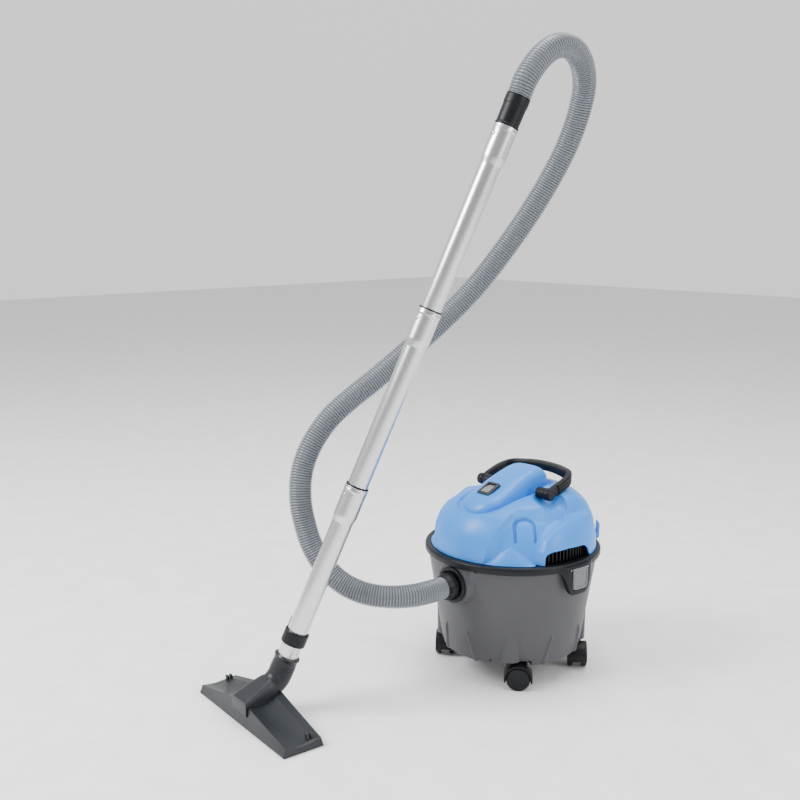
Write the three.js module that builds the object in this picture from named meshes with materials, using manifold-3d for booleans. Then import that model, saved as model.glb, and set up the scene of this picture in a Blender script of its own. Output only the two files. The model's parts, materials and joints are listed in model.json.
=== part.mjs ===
// A small wet/dry canister vacuum: tub on four twin-wheel casters, lift-off motor head,
// free hose, three-section wand and floor tool. Millimetres, +Z up, front of the tub at -Y.
import * as THREE from "three";
import { mergeVertices } from "three/addons/utils/BufferGeometryUtils.js";
import Module from "manifold-3d";

const wasm = await Module();
wasm.setup();

// ---------------------------------------------------------------- driving dimensions
const GAP = 0.3;                                    // clearance between touching pieces
const ROUND = { huge: 40, large: 20, medium: 16, small: 10 };   // facets round a turned piece
const TUB = { floorZ: 41, floorR: 128, topZ: 228.6, topR: 157.2, wall: 3 };
const COLLAR = { outerR: 162, innerR: 151.5, lowZ: 219.5, topZ: 233 };
const LEDGE = { innerR: 139, lowZ: 219, topZ: 224.4 };
const INLET = { z: 186, flangeR: 32, sleeveR: 23.5, boreR: 20, faceY: -164 };
const BASE = { lowZ: 226, topZ: 233.1, outerR: 151.2, seatR: 24 };
const DOME = { wall: 3, bottomZ: 233.4 };
const DOME_OUTLINE = [[151, 233.4], [150.4, 246], [147.5, 262], [142, 280], [132.5, 297],
  [118, 312], [97, 323.5], [72, 330], [40, 333.5], [0, 335]];
const TONGUE = { halfWidth: 39, wall: 3 };
const TONGUE_CREST = [[-110, 314], [-96, 329], [-66, 342], [-30, 357], [0, 367], [28, 373],
  [48, 370], [60, 358], [64, 338]];
const VENT = { startDeg: -28, endDeg: 14, topZ: 257, outerR: 147.2, thick: 3, slots: 13 };
const LATCH = { halfWidth: 18, pinX: 166, pinZ: 223.4, pinR: 1.5, lowZ: 187, topZ: 226, plateX: 163.4,
  turnDeg: -4 };
const LUG = { halfWidth: 10, reachX: 160.6, lowZ: 192, topZ: 199 };
const HANDLE = { pivotX: 79, pivotY: 5, pivotZ: 336, eyeR: 11, pinR: 4, gripY: 80, gripZ: 357.5 };
const HANDLE_SECTION = { halfThick: 6, halfTall: 8.5 };
const SWITCH = { width: 26, length: 34, y: -66, slopeDeg: 23.5, openWidth: 18, openLength: 26, tiltDeg: 7 };
const MOTOR = { canR: 44, lowZ: 264, topZ: 318, shaftR: 4, fanR: 57 };
const CAGE = { outerR: 50, wall: 3, lowZ: 118, windows: 8 };
const FLOAT_R = 30;
const CASTER = { pivotR: 124, trail: 15, wheelR: 21, wheelWidth: 10, bodyWidth: 15, archR: 26 };
const CASTER_WELL = { radius: 37, topZ: 51 };
const HOSE = { radius: 20, sides: 8, steps: 66 };
const WAND = { radius: 17.5, wall: 1.2, socketR: 19.8, socketLength: 56, insertion: 34, pitch: 313 };
const TOOL = { length: 290, depth: 74, endHeight: 14, centreHeight: 40, wall: 2.6, yawDeg: -5.95 };
const TOOL_CENTRE = [-126.3, -490.1, 0];
const STUB_SLOPE_DEG = 27;                          // the neck's swivel axis above the floor
const ELBOW = [0, 37.9, 58.3];                      // where stub axis and wand axis cross
const WAND_DIRECTION = new THREE.Vector3(0.19, 0.333, 0.924).normalize();
const NECK_LENGTH = 44.7;                           // elbow to neck mouth, along the wand

// The hose route from the inlet cuff to the wand's top, one free curve.
const HOSE_ROUTE = [[0, -186.4, 186], [0, -216, 186.5], [-8, -252, 186.5], [-28, -286, 188],
  [-57, -313, 193], [-87, -333, 206], [-115, -348, 229], [-140, -359, 264], [-157, -364, 308],
  [-166, -365, 350], [-170, -357, 396], [-166, -338, 440], [-156, -307, 482], [-143, -270, 514],
  [-128, -231, 543], [-107, -184, 583], [-74, -123, 640], [-34, -61, 714], [18, 2, 826],
  [58, 36, 918], [82, 47, 980], [103, 42, 1036], [117, 18, 1074], [125, -18, 1095],
  [127, -58, 1096], [123, -93, 1077], [115.9, -120, 1043.5], [108.8, -130.2, 1014]];

// ---------------------------------------------------------------- materials
function finish(color, roughness, metalness = 0) {
  return { color, roughness, metalness };
}
const BLUE = finish(0x6db9f2, 0.38);
const TUB_GREY = finish(0x66666c, 0.55);
const BLACK = finish(0x24252a, 0.5);
const CLIP_GREY = finish(0x8d8f93, 0.45);
const HOSE_GREY = finish(0x8c9196, 0.45);
const ALUMINIUM = finish(0xc9cbcf, 0.32, 0.9);
const STEEL = finish(0xa8abb0, 0.35, 1);
const TOOL_BLACK = finish(0x30343a, 0.5);
const RUBBER = finish(0x1b1c1e, 0.8);
const FILTER = finish(0xd8d4c8, 0.95);
const COPPER = finish(0x9c5a36, 0.45, 0.8);

// ---------------------------------------------------------------- solid helpers
function toSolid(geometry) {
  const bare = geometry.index ? geometry.toNonIndexed() : geometry.clone();
  for (const name of Object.keys(bare.attributes)) {
    if (name !== "position") bare.deleteAttribute(name);
  }
  const merged = mergeVertices(bare, 1e-3);
  const corners = merged.index.array;
  const kept = [];
  for (let i = 0; i < corners.length; i += 3) {
    const [a, b, c] = [corners[i], corners[i + 1], corners[i + 2]];
    if (a !== b && b !== c && c !== a) kept.push(a, b, c);
  }
  const places = merged.attributes.position.array;
  if (signedVolume(places, kept) < 0) {
    for (let i = 0; i < kept.length; i += 3) [kept[i], kept[i + 1]] = [kept[i + 1], kept[i]];
  }
  return new wasm.Manifold(new wasm.Mesh({
    numProp: 3,
    vertProperties: new Float32Array(places),
    triVerts: new Uint32Array(kept),
  }));
}

function signedVolume(places, corners) {
  const [a, b, c] = [new THREE.Vector3(), new THREE.Vector3(), new THREE.Vector3()];
  let volume = 0;
  for (let i = 0; i < corners.length; i += 3) {
    a.fromArray(places, corners[i] * 3);
    b.fromArray(places, corners[i + 1] * 3);
    c.fromArray(places, corners[i + 2] * 3);
    volume += a.dot(b.cross(c)) / 6;
  }
  return volume;
}

function toGeometry(solid) {
  const mesh = solid.getMesh();
  const geometry = new THREE.BufferGeometry();
  geometry.setAttribute("position", new THREE.BufferAttribute(new Float32Array(mesh.vertProperties), 3));
  geometry.setIndex(new THREE.BufferAttribute(new Uint32Array(mesh.triVerts), 1));
  geometry.computeVertexNormals();
  return geometry;
}

function join(first, ...others) {
  return others.reduce((whole, piece) => whole.add(piece), first);
}

function cut(base, ...tools) {
  return tools.reduce((whole, tool) => whole.subtract(tool), base);
}

// A solid of revolution about Z from [radius, height] points; a ring's outline closes on itself.
function lathe(outline, sides = ROUND.large) {
  const closed = outline[0][0] > 0 ? [...outline, outline[0]] : outline;
  const points = closed.map(([radius, height]) => new THREE.Vector2(radius, height));
  return toSolid(new THREE.LatheGeometry(points, sides).rotateX(Math.PI / 2));
}

function box(x0, x1, y0, y1, z0, z1) {
  const geometry = new THREE.BoxGeometry(x1 - x0, y1 - y0, z1 - z0);
  return toSolid(geometry.translate((x0 + x1) / 2, (y0 + y1) / 2, (z0 + z1) / 2));
}

// A round bar between two points, tapered when endRadius differs.
function rod(start, end, radius, sides = ROUND.medium, endRadius = radius) {
  const from = new THREE.Vector3(...start);
  const along = new THREE.Vector3(...end).sub(from);
  const length = along.length();
  const geometry = new THREE.CylinderGeometry(endRadius, radius, length, sides);
  geometry.translate(0, length / 2, 0);
  geometry.applyQuaternion(new THREE.Quaternion().setFromUnitVectors(
    new THREE.Vector3(0, 1, 0), along.normalize()));
  return toSolid(geometry.translate(from.x, from.y, from.z));
}

function ball(centre, radius, across = ROUND.medium) {
  return toSolid(new THREE.SphereGeometry(radius, across, across / 2).translate(...centre));
}

// A flat outline pushed through a depth along Z, then turned and moved by the matrix.
function prism(outline, depth, matrix = new THREE.Matrix4()) {
  const shape = new THREE.Shape(outline.map(([x, y]) => new THREE.Vector2(x, y)));
  const geometry = new THREE.ExtrudeGeometry(shape, { depth, bevelEnabled: false });
  return toSolid(geometry.applyMatrix4(matrix));
}

// Outline drawn in Y-Z and pushed along X from x0 to x1.
function sidePrism(outline, x0, x1) {
  const matrix = new THREE.Matrix4().makeBasis(
    new THREE.Vector3(0, 1, 0), new THREE.Vector3(0, 0, 1), new THREE.Vector3(1, 0, 0));
  matrix.setPosition(x0, 0, 0);
  return prism(outline, x1 - x0, matrix);
}

// Outline drawn in X-Z and pushed along Y from y0 to y1.
function frontPrism(outline, y0, y1) {
  const matrix = new THREE.Matrix4().makeBasis(
    new THREE.Vector3(1, 0, 0), new THREE.Vector3(0, 0, 1), new THREE.Vector3(0, -1, 0));
  matrix.setPosition(0, y1, 0);
  return prism(outline, y1 - y0, matrix);
}

// A section swept along a curve.
function sweep(curve, halfWidth, halfHeight, sides, steps) {
  const shape = new THREE.Shape();
  for (let i = 0; i < sides; i += 1) {
    const angle = (i + 0.5) / sides * 2 * Math.PI;
    const x = halfWidth * Math.cos(angle);
    const y = halfHeight * Math.sin(angle);
    if (i === 0) shape.moveTo(x, y);
    else shape.lineTo(x, y);
  }
  shape.closePath();
  const geometry = new THREE.ExtrudeGeometry(shape, { steps, bevelEnabled: false, extrudePath: curve });
  return toSolid(geometry);
}

function curveThrough(points) {
  return new THREE.CatmullRomCurve3(points.map((point) => new THREE.Vector3(...point)));
}

function addPiece(parent, name, solid, look) {
  const mesh = new THREE.Mesh(toGeometry(solid), new THREE.MeshStandardMaterial(look));
  mesh.name = name;
  parent.add(mesh);
  return mesh;
}

function onCircle(radius, degrees, height = 0) {
  const angle = degrees * Math.PI / 180;
  return [radius * Math.cos(angle), radius * Math.sin(angle), height];
}

// ---------------------------------------------------------------- tub
const CASTER_DEGREES = [-49, 41, 131, -139];
const CASTER_TURNS = [90, -90, 90, -90];
const CASTER_NAMES = ["front_right", "rear_right", "rear_left", "front_left"];

function tubEnvelope(extra) {
  return lathe([[0, TUB.floorZ - 10], [TUB.floorR + extra - 1.6, TUB.floorZ - 10],
    [TUB.topR + extra + 1.6, TUB.topZ + 10], [0, TUB.topZ + 10]], ROUND.huge);
}

function makeTub() {
  const inner = TUB.wall;
  let tub = lathe([[0, TUB.floorZ], [TUB.floorR - 5, TUB.floorZ], [TUB.floorR, TUB.floorZ + 5],
    [TUB.topR, TUB.topZ], [TUB.topR - inner, TUB.topZ], [TUB.topR - inner - 0.5, LEDGE.topZ],
    [LEDGE.innerR, LEDGE.topZ], [LEDGE.innerR, LEDGE.topZ - 2], [TUB.topR - inner - 2, LEDGE.lowZ - 12],
    [TUB.floorR - inner, TUB.floorZ + 7], [TUB.floorR - 8, TUB.floorZ + 4], [0, TUB.floorZ + 4]], ROUND.huge);
  for (const degrees of CASTER_DEGREES) {
    const foot = onCircle(CASTER.pivotR, degrees, TUB.floorZ);
    const wellTop = [foot[0], foot[1], CASTER_WELL.topZ + TUB.wall];
    const tip = onCircle(TUB.floorR + 3, degrees, 112);
    const wellCap = rod(foot, wellTop, CASTER_WELL.radius + TUB.wall, ROUND.medium).intersect(tubEnvelope(0));
    const bulge = rod([foot[0], foot[1], CASTER_WELL.topZ], tip, 13, 20, 4);
    tub = join(tub, wellCap, bulge);
    tub = cut(tub, rod([foot[0], foot[1], TUB.floorZ - 5], [foot[0], foot[1], CASTER_WELL.topZ],
      CASTER_WELL.radius, ROUND.medium));
    tub = cut(tub, rod([foot[0], foot[1], 40], [foot[0], foot[1], 76], 5.4, ROUND.small));
  }
  const boss = cut(rod([0, -157.9, INLET.z], [0, -140, INLET.z], 37, ROUND.medium),
    tubEnvelope(-TUB.wall), box(-50, 50, -170, -130, COLLAR.lowZ - 1, 240));
  const lug = cut(box(146, LUG.reachX, -LUG.halfWidth, LUG.halfWidth, LUG.lowZ, LUG.topZ),
    tubEnvelope(-TUB.wall));
  tub = join(tub, boss, toLatch(lug, 1), toLatch(lug, -1));
  return cut(tub, rod([0, -170, INLET.z], [0, -120, INLET.z], INLET.sleeveR + 2 * GAP, ROUND.large));
}

/** Turns a piece made at the right-hand latch to its own side of the tub. */
function toLatch(solid, side) {
  return solid.rotate([0, 0, LATCH.turnDeg + (side > 0 ? 0 : 180)]);
}

function latchBoss(side) {
  const outline = [[-31, COLLAR.lowZ + 9], [-30, COLLAR.lowZ], [-25, 190], [-17, 177], [17, 177],
    [25, 190], [30, COLLAR.lowZ], [31, COLLAR.lowZ + 9]];
  const wide = sidePrism(outline, TUB.topR + 2 * GAP, 168.6);
  const pocket = box(LATCH.plateX - 1.9, 180, -LATCH.halfWidth - GAP, LATCH.halfWidth + GAP,
    LATCH.lowZ - 1.5, 260);
  const lugRoom = box(140, LUG.reachX + 1.3, -LUG.halfWidth - 1, LUG.halfWidth + 1, 170, LUG.topZ + 1);
  const pinBore = rod([LATCH.pinX, -25, LATCH.pinZ], [LATCH.pinX, 25, LATCH.pinZ],
    LATCH.pinR + GAP, ROUND.small);
  return toLatch(cut(wide, pocket, lugRoom, pinBore), side);
}

function makeCollar() {
  const ring = lathe([[TUB.topR + GAP, COLLAR.lowZ + 9], [TUB.topR + GAP - 0.4, COLLAR.lowZ],
    [COLLAR.outerR - 1, COLLAR.lowZ], [COLLAR.outerR, COLLAR.lowZ + 2], [COLLAR.outerR, COLLAR.topZ - 3],
    [COLLAR.outerR - 3, COLLAR.topZ], [COLLAR.innerR, COLLAR.topZ], [COLLAR.innerR, TUB.topZ + GAP],
    [TUB.topR + GAP, TUB.topZ + GAP]], ROUND.huge);
  const swing = box(LATCH.plateX - 1.9, 200, -LATCH.halfWidth - GAP, LATCH.halfWidth + GAP, 180, 228);
  return cut(join(ring, latchBoss(1), latchBoss(-1)), toLatch(swing, 1), toLatch(swing, -1));
}

function makeInletFlange() {
  const turned = lathe([[INLET.boreR, 0], [INLET.flangeR - 2, 0], [INLET.flangeR, 2],
    [INLET.flangeR, 5.8], [INLET.sleeveR, 5.8], [INLET.sleeveR, 25], [INLET.boreR, 25]], ROUND.large);
  return turned.rotate([-90, 0, 0]).translate([0, INLET.faceY, INLET.z]);
}

function makeDeflector() {
  const hood = box(-24, 24, -138.5, -104, 152, 214);
  return cut(hood, box(-21.5, 21.5, -150, -106.5, 140, 211.5));
}

function makeLatchPin(side) {
  const pin = rod([LATCH.pinX, -23, LATCH.pinZ], [LATCH.pinX, 23, LATCH.pinZ], LATCH.pinR, 12);
  return toLatch(pin, side);
}

function makeLatch(side) {
  const { plateX, lowZ, topZ } = LATCH;
  const outline = [[plateX, lowZ], [166.5, lowZ], [169.5, lowZ + 4], [170, 207], [169.2, topZ - 2],
    [167.5, topZ], [plateX, topZ]];
  const toe = box(157, plateX + 1, -LUG.halfWidth + 0.5, LUG.halfWidth - 0.5, lowZ + GAP, LUG.lowZ - 0.5);
  const plate = join(frontPrism(outline, -LATCH.halfWidth, LATCH.halfWidth), toe);
  const bore = rod([LATCH.pinX, -25, LATCH.pinZ], [LATCH.pinX, 25, LATCH.pinZ],
    LATCH.pinR + GAP, ROUND.small);
  return toLatch(cut(plate, bore), side);
}

// ---------------------------------------------------------------- motor head
function domeSolid(extra) {
  const outline = DOME_OUTLINE.map(([radius, height]) => {
    const lean = radius / 151;
    return [radius > 0 ? radius + extra * lean : 0, height + extra * (1 - lean * lean)];
  });
  outline[0][1] = DOME.bottomZ;
  return lathe([[0, DOME.bottomZ], ...outline], ROUND.huge);
}

function ventBlock(grow) {
  const start = VENT.startDeg - grow * 0.4;
  const end = VENT.endDeg + grow * 0.4;
  const outerR = grow ? 170 : VENT.outerR;
  const innerR = grow ? 130 : VENT.outerR - VENT.thick;
  const outline = [];
  const steps = 16;
  for (let i = 0; i <= steps; i += 1) {
    outline.push(onCircle(outerR, start + (end - start) * i / steps).slice(0, 2));
  }
  for (let i = steps; i >= 0; i -= 1) {
    outline.push(onCircle(innerR, start + (end - start) * i / steps).slice(0, 2));
  }
  const low = grow ? DOME.bottomZ - 5 : DOME.bottomZ + GAP;
  return prism(outline, VENT.topZ + grow - low, new THREE.Matrix4().makeTranslation(0, 0, low));
}

function mirrorX(solid) {
  return solid.mirror([1, 0, 0]);
}

function makeVentGrille(side) {
  let grille = ventBlock(0);
  const span = VENT.endDeg - VENT.startDeg;
  for (let i = 0; i < VENT.slots; i += 1) {
    const degrees = VENT.startDeg + span * (i + 0.5) / VENT.slots;
    const slot = box(135, 155, -2.6, 2.6, DOME.bottomZ + 5, VENT.topZ - 2.5);
    grille = cut(grille, slot.rotate([0, 0, degrees]));
  }
  return side > 0 ? grille : mirrorX(grille);
}

function pivotRod(x0, x1, radius, sides = ROUND.medium) {
  return rod([x0, HANDLE.pivotY, HANDLE.pivotZ], [x1, HANDLE.pivotY, HANDLE.pivotZ], radius, sides);
}

function makeMotorCover() {
  const outer = domeSolid(0);
  let cover = cut(outer, domeSolid(-DOME.wall).translate([0, 0, -0.6]));
  for (const side of [1, -1]) {
    const pocketWall = pivotRod(side * 69, side * 112, 18).intersect(outer);
    const lug = pivotRod(side * 58, side * (HANDLE.pivotX - 4.8), 9.5);
    cover = join(cover, pocketWall);
    cover = cut(cover, pivotRod(side * (HANDLE.pivotX - 4.8), side * 116, 14.5));
    cover = join(cover, lug);
    cover = cut(cover, pivotRod(side * 61, side * 90, HANDLE.pinR + GAP, ROUND.small));
  }
  cover = cut(cover, ventBlock(GAP * 2), mirrorX(ventBlock(GAP * 2)));
  const cableHole = rod([0, 120, 250], [0, 170, 250], 8.4, ROUND.medium);
  const switchWell = box(-15, 15, -84, -50, 300, 345);
  return cut(cover, cableHole, switchWell);
}

function tongueProfile(inset) {
  const crest = TONGUE_CREST.map(([y, z]) => [y, z - inset]);
  crest[0][0] += inset;
  crest[crest.length - 1][0] -= inset;
  crest[crest.length - 2][0] -= inset;
  const [front, rear] = [crest[0][0], crest[crest.length - 1][0]];
  return [[front, 290], ...crest, [rear, 290]];
}

function switchFrame() {
  const frame = new THREE.Matrix4().makeRotationX(SWITCH.slopeDeg * Math.PI / 180);
  return frame.setPosition(0, SWITCH.y, 342);
}

function placed(geometry) {
  return toSolid(geometry.applyMatrix4(switchFrame()));
}

function makeTopCover() {
  const width = TONGUE.halfWidth;
  const outer = sidePrism(tongueProfile(0), -width, width);
  const inner = sidePrism(tongueProfile(TONGUE.wall), -width + TONGUE.wall, width - TONGUE.wall);
  const nose = cut(box(-60, 60, -140, -66, 280, 350), lathe([[0, 270], [width, 270], [width, 360],
    [0, 360]], ROUND.large).translate([0, -71, 0]));
  const opening = placed(new THREE.BoxGeometry(SWITCH.width - 2.4, SWITCH.length - 2.4, 30));
  const noseSkin = cut(lathe([[0, 291], [width, 291], [width, 360], [0, 360]], ROUND.large)
    .translate([0, -71, 0]), lathe([[0, 280], [width - 3, 280], [width - 3, 370], [0, 370]], ROUND.large)
    .translate([0, -71, 0])).intersect(outer).intersect(box(-60, 60, -140, -71, 280, 350));
  const shell = join(cut(outer, inner, nose), noseSkin);
  return cut(shell, domeSolid(GAP), opening);
}

function makeSwitchBezel() {
  const rim = placed(new THREE.BoxGeometry(SWITCH.width, SWITCH.length, 3).translate(0, 0, 2.2));
  const neck = placed(new THREE.BoxGeometry(SWITCH.width - 3.2, SWITCH.length - 3.2, 10)
    .translate(0, 0, -4));
  const opening = placed(new THREE.BoxGeometry(SWITCH.openWidth, SWITCH.openLength, 40));
  return cut(join(rim, neck), opening);
}

function makeRocker() {
  const half = SWITCH.openLength / 2 - 1.6;
  const outline = [[-half, 4.2], [0, 2.6], [half, 4.2], [half - 2, -3], [0, -6], [-half + 2, -3]];
  const shape = new THREE.Shape(outline.map(([y, z]) => new THREE.Vector2(y, z)));
  const width = SWITCH.openWidth - 1;
  const geometry = new THREE.ExtrudeGeometry(shape, { depth: width, bevelEnabled: false });
  geometry.applyMatrix4(new THREE.Matrix4().makeBasis(new THREE.Vector3(0, 1, 0),
    new THREE.Vector3(0, 0, 1), new THREE.Vector3(1, 0, 0)).setPosition(-width / 2, 0, 0));
  geometry.rotateX(-SWITCH.tiltDeg * Math.PI / 180);
  return placed(geometry);
}

function makeHeadBase() {
  return lathe([[BASE.seatR, BASE.lowZ], [BASE.outerR, BASE.lowZ], [BASE.outerR, BASE.topZ],
    [BASE.outerR - 4, BASE.topZ], [BASE.outerR - 4, BASE.lowZ + 3], [BASE.seatR, BASE.lowZ + 3]], ROUND.huge);
}

function makeGasket() {
  return lathe([[LEDGE.innerR + 2, LEDGE.topZ + GAP], [BASE.outerR - 1, LEDGE.topZ + GAP],
    [BASE.outerR - 1, BASE.lowZ - GAP], [LEDGE.innerR + 2, BASE.lowZ - GAP]], ROUND.huge);
}

function makeFanHousing() {
  const [low, top] = [BASE.lowZ + 3 + GAP, MOTOR.lowZ - GAP];
  return lathe([[26, low], [66, low], [66, top], [12, top], [12, top - 3], [63, top - 3],
    [63, low + 3], [26, low + 3]], ROUND.large);
}

function makeMotorCan() {
  const { canR, lowZ, topZ } = MOTOR;
  return lathe([[7, lowZ], [canR, lowZ], [canR, topZ], [7, topZ], [7, topZ - 2.5],
    [canR - 2, topZ - 2.5], [canR - 2, lowZ + 2.5], [7, lowZ + 2.5]], ROUND.large);
}

function makeStator() {
  return lathe([[27, MOTOR.lowZ + 8], [MOTOR.canR - 2.6, MOTOR.lowZ + 8],
    [MOTOR.canR - 2.6, MOTOR.topZ - 8], [27, MOTOR.topZ - 8]], ROUND.large);
}

function makeRotor() {
  const { shaftR, lowZ, topZ } = MOTOR;
  return lathe([[0, BASE.topZ + 4], [shaftR, BASE.topZ + 4], [shaftR, lowZ + 10], [25.5, lowZ + 10],
    [25.5, topZ - 10], [shaftR, topZ - 10], [shaftR, topZ + 2], [0, topZ + 2]], ROUND.large);
}

function makeImpeller() {
  const low = BASE.topZ + 5;
  let wheel = lathe([[MOTOR.shaftR + 0.2, low + 3], [12, low + 3], [12, low + 14], [MOTOR.fanR, low + 16],
    [MOTOR.fanR, low + 18], [MOTOR.shaftR + 0.2, low + 18]], ROUND.large);
  for (let i = 0; i < 9; i += 1) {
    const blade = box(14, MOTOR.fanR - 1, -1, 1, low + 3, low + 17);
    wheel = join(wheel, blade.rotate([0, 0, i * 40]));
  }
  return wheel;
}

function makeFilterCage() {
  const { outerR, wall, lowZ, windows } = CAGE;
  let cage = lathe([[0, lowZ], [outerR, lowZ], [outerR, BASE.lowZ - GAP], [outerR - wall, BASE.lowZ - GAP],
    [outerR - wall, lowZ + wall], [0, lowZ + wall]], ROUND.large);
  for (let i = 0; i < windows / 2; i += 1) {
    const window = box(-80, 80, -11, 11, lowZ + 12, BASE.lowZ - 14);
    cage = cut(cage, window.rotate([0, 0, i * 360 / windows]));
  }
  return cage;
}

function ring(innerR, outerR, lowZ, topZ, sides = ROUND.large) {
  return lathe([[innerR, lowZ], [outerR, lowZ], [outerR, topZ], [innerR, topZ]], sides);
}

function makeCableGland() {
  const turned = lathe([[4, 0], [7.7, 0], [7.7, 4], [10.5, 4], [10.5, 7.5], [4, 7.5]], ROUND.medium);
  return turned.rotate([-90, 0, 0]).translate([0, 147.2, 250]);
}

function makeCableHook() {
  const outline = [[151.6, 240], [158.5, 240], [160.5, 243], [160.5, 270], [157.5, 270],
    [157.5, 248], [151.6, 248]];
  const hook = cut(frontPrism(outline, -9, 9), domeSolid(GAP));
  return hook.rotate([0, 0, 47.5]);
}

// ---------------------------------------------------------------- carry handle
function makeHandle() {
  const { pivotX, pivotY, pivotZ, gripY, gripZ } = HANDLE;
  const half = [[pivotX, pivotY, pivotZ], [pivotX + 1, pivotY + 20, pivotZ + 5],
    [pivotX + 0.5, pivotY + 43, pivotZ + 12], [pivotX - 5, gripY - 12, gripZ - 4],
    [pivotX - 19, gripY, gripZ], [30, gripY + 7, gripZ + 3.5]];
  const other = half.map(([x, y, z]) => [-x, y, z]).reverse();
  const line = curveThrough([...half, [0, gripY + 8.5, gripZ + 4.5], ...other]);
  const bow = sweep(line, HANDLE_SECTION.halfThick, HANDLE_SECTION.halfTall, 10, 30);
  const eyes = [pivotRod(pivotX - 4.2, pivotX + 4.2, HANDLE.eyeR),
    pivotRod(-pivotX - 4.2, -pivotX + 4.2, HANDLE.eyeR)];
  const capRoom = 24;
  const trimmed = cut(bow, pivotRod(pivotX + 4.1, pivotX + 20, capRoom),
    pivotRod(-pivotX - 20, -pivotX - 4.1, capRoom), pivotRod(-pivotX + 4.1, pivotX - 4.1, 17.3));
  return cut(join(trimmed, ...eyes), pivotRod(-100, 100, HANDLE.pinR + GAP, ROUND.small));
}

function makePivotPin(side) {
  return pivotRod(side * 62, side * (HANDLE.pivotX + 4), HANDLE.pinR, ROUND.small);
}

function makePivotCap(side) {
  return pivotRod(side * (HANDLE.pivotX + 4.5), side * (HANDLE.pivotX + 9.5), 10.5);
}

// ---------------------------------------------------------------- casters
// Local frame: swivel axis on Z, wheel centre trailing along +X, axle along Y.
function makeCasterFork() {
  const { trail, wheelR, archR, bodyWidth, wheelWidth } = CASTER;
  const half = bodyWidth / 2;
  const disc = cut(rod([trail, -half, wheelR], [trail, half, wheelR], archR, ROUND.medium),
    box(-60, 60, -20, 20, -20, 8));
  const post = rod([0, 0, 24], [0, 0, CASTER_WELL.topZ - 1.2], half - 0.2, ROUND.medium);
  const stem = rod([0, 0, 40], [0, 0, 74], 4.8, ROUND.small);
  const reach = half + wheelWidth + 1.5;
  const axle = rod([trail, -reach, wheelR], [trail, reach, wheelR], 3, ROUND.small);
  return join(disc, post, stem, axle);
}

function makeCasterWheel(side) {
  const { trail, wheelR, bodyWidth, wheelWidth } = CASTER;
  const wheel = lathe([[3.4, 0], [wheelR, 0], [wheelR, wheelWidth - 3], [wheelR - 3, wheelWidth],
    [3.4, wheelWidth]], ROUND.large);
  const start = bodyWidth / 2 + 0.5;
  const turned = side > 0 ? wheel.rotate([-90, 0, 0]) : wheel.rotate([90, 0, 0]);
  return turned.translate([trail, side * start, wheelR]);
}

function addCaster(parent, name, degrees, turn) {
  const corner = new THREE.Group();
  corner.position.set(...onCircle(CASTER.pivotR, degrees));
  corner.rotation.z = (degrees + turn) * Math.PI / 180;
  const inner = Math.sign(turn);
  parent.add(corner);
  addPiece(corner, `caster_fork_${name}`, makeCasterFork(), BLACK);
  addPiece(corner, `caster_wheel_inner_${name}`, makeCasterWheel(inner), BLACK);
  addPiece(corner, `caster_wheel_outer_${name}`, makeCasterWheel(-inner), BLACK);
}

// ---------------------------------------------------------------- hose
function makeHoseCuff() {
  const outline = [[16, 0], [21.5, 0], [24, 10], [24, 21], [19.6, 21.8], [19.6, 48], [16, 48]];
  const turned = lathe(outline, ROUND.medium);
  return turned.rotate([-90, 0, 0]).translate([0, -186, INLET.z]);
}

function makeHose() {
  return sweep(curveThrough(HOSE_ROUTE), HOSE.radius, HOSE.radius, HOSE.sides, HOSE.steps);
}

// ---------------------------------------------------------------- wand, local Z along the tube
function snapBore(height) {
  return rod([0, -30, height], [0, 0, height], 3.9, ROUND.small);
}

function makeWandSection(start, end) {
  const { radius, wall, socketR, socketLength, insertion } = WAND;
  const shoulder = end - socketLength;
  let section = lathe([[radius - wall, start], [radius, start], [radius, shoulder], [socketR, shoulder + 4],
    [socketR, end], [socketR - 1.9, end], [socketR - 1.9, end - insertion - 2],
    [radius - wall, end - insertion - 2]], ROUND.medium);
  section = cut(section, snapBore(end - insertion / 2));
  return start > 0 ? cut(section, snapBore(start + insertion / 2)) : section;
}

function makeSnapButton(height) {
  return rod([0, -21.6, height], [0, -13.2, height], 3.4, ROUND.small);
}

function makeHoseEndTube(top) {
  const plug = lathe([[14, top - WAND.insertion], [17.5, top - WAND.insertion], [17.5, top + GAP],
    [20, top + GAP], [20, top + 50], [14, top + 50]], ROUND.medium);
  return cut(plug, snapBore(top - WAND.insertion / 2));
}

function makeClipCollar() {
  const band = ring(WAND.radius + GAP, 21.2, 24, 47, ROUND.medium);
  return join(band, box(-23.4, -20, -6, 6, 26, 66));
}

// ---------------------------------------------------------------- floor tool, X along the slot
function alongStub(distance) {
  const slope = STUB_SLOPE_DEG * Math.PI / 180;
  return [0, ELBOW[1] + distance * Math.cos(slope), ELBOW[2] + distance * Math.sin(slope)];
}

function alongWand(distance) {
  return ELBOW.map((value, i) => value + distance * WAND_DIRECTION.getComponent(i));
}

const SEAM = -14;                                   // neck seam, along the stub from the elbow

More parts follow.
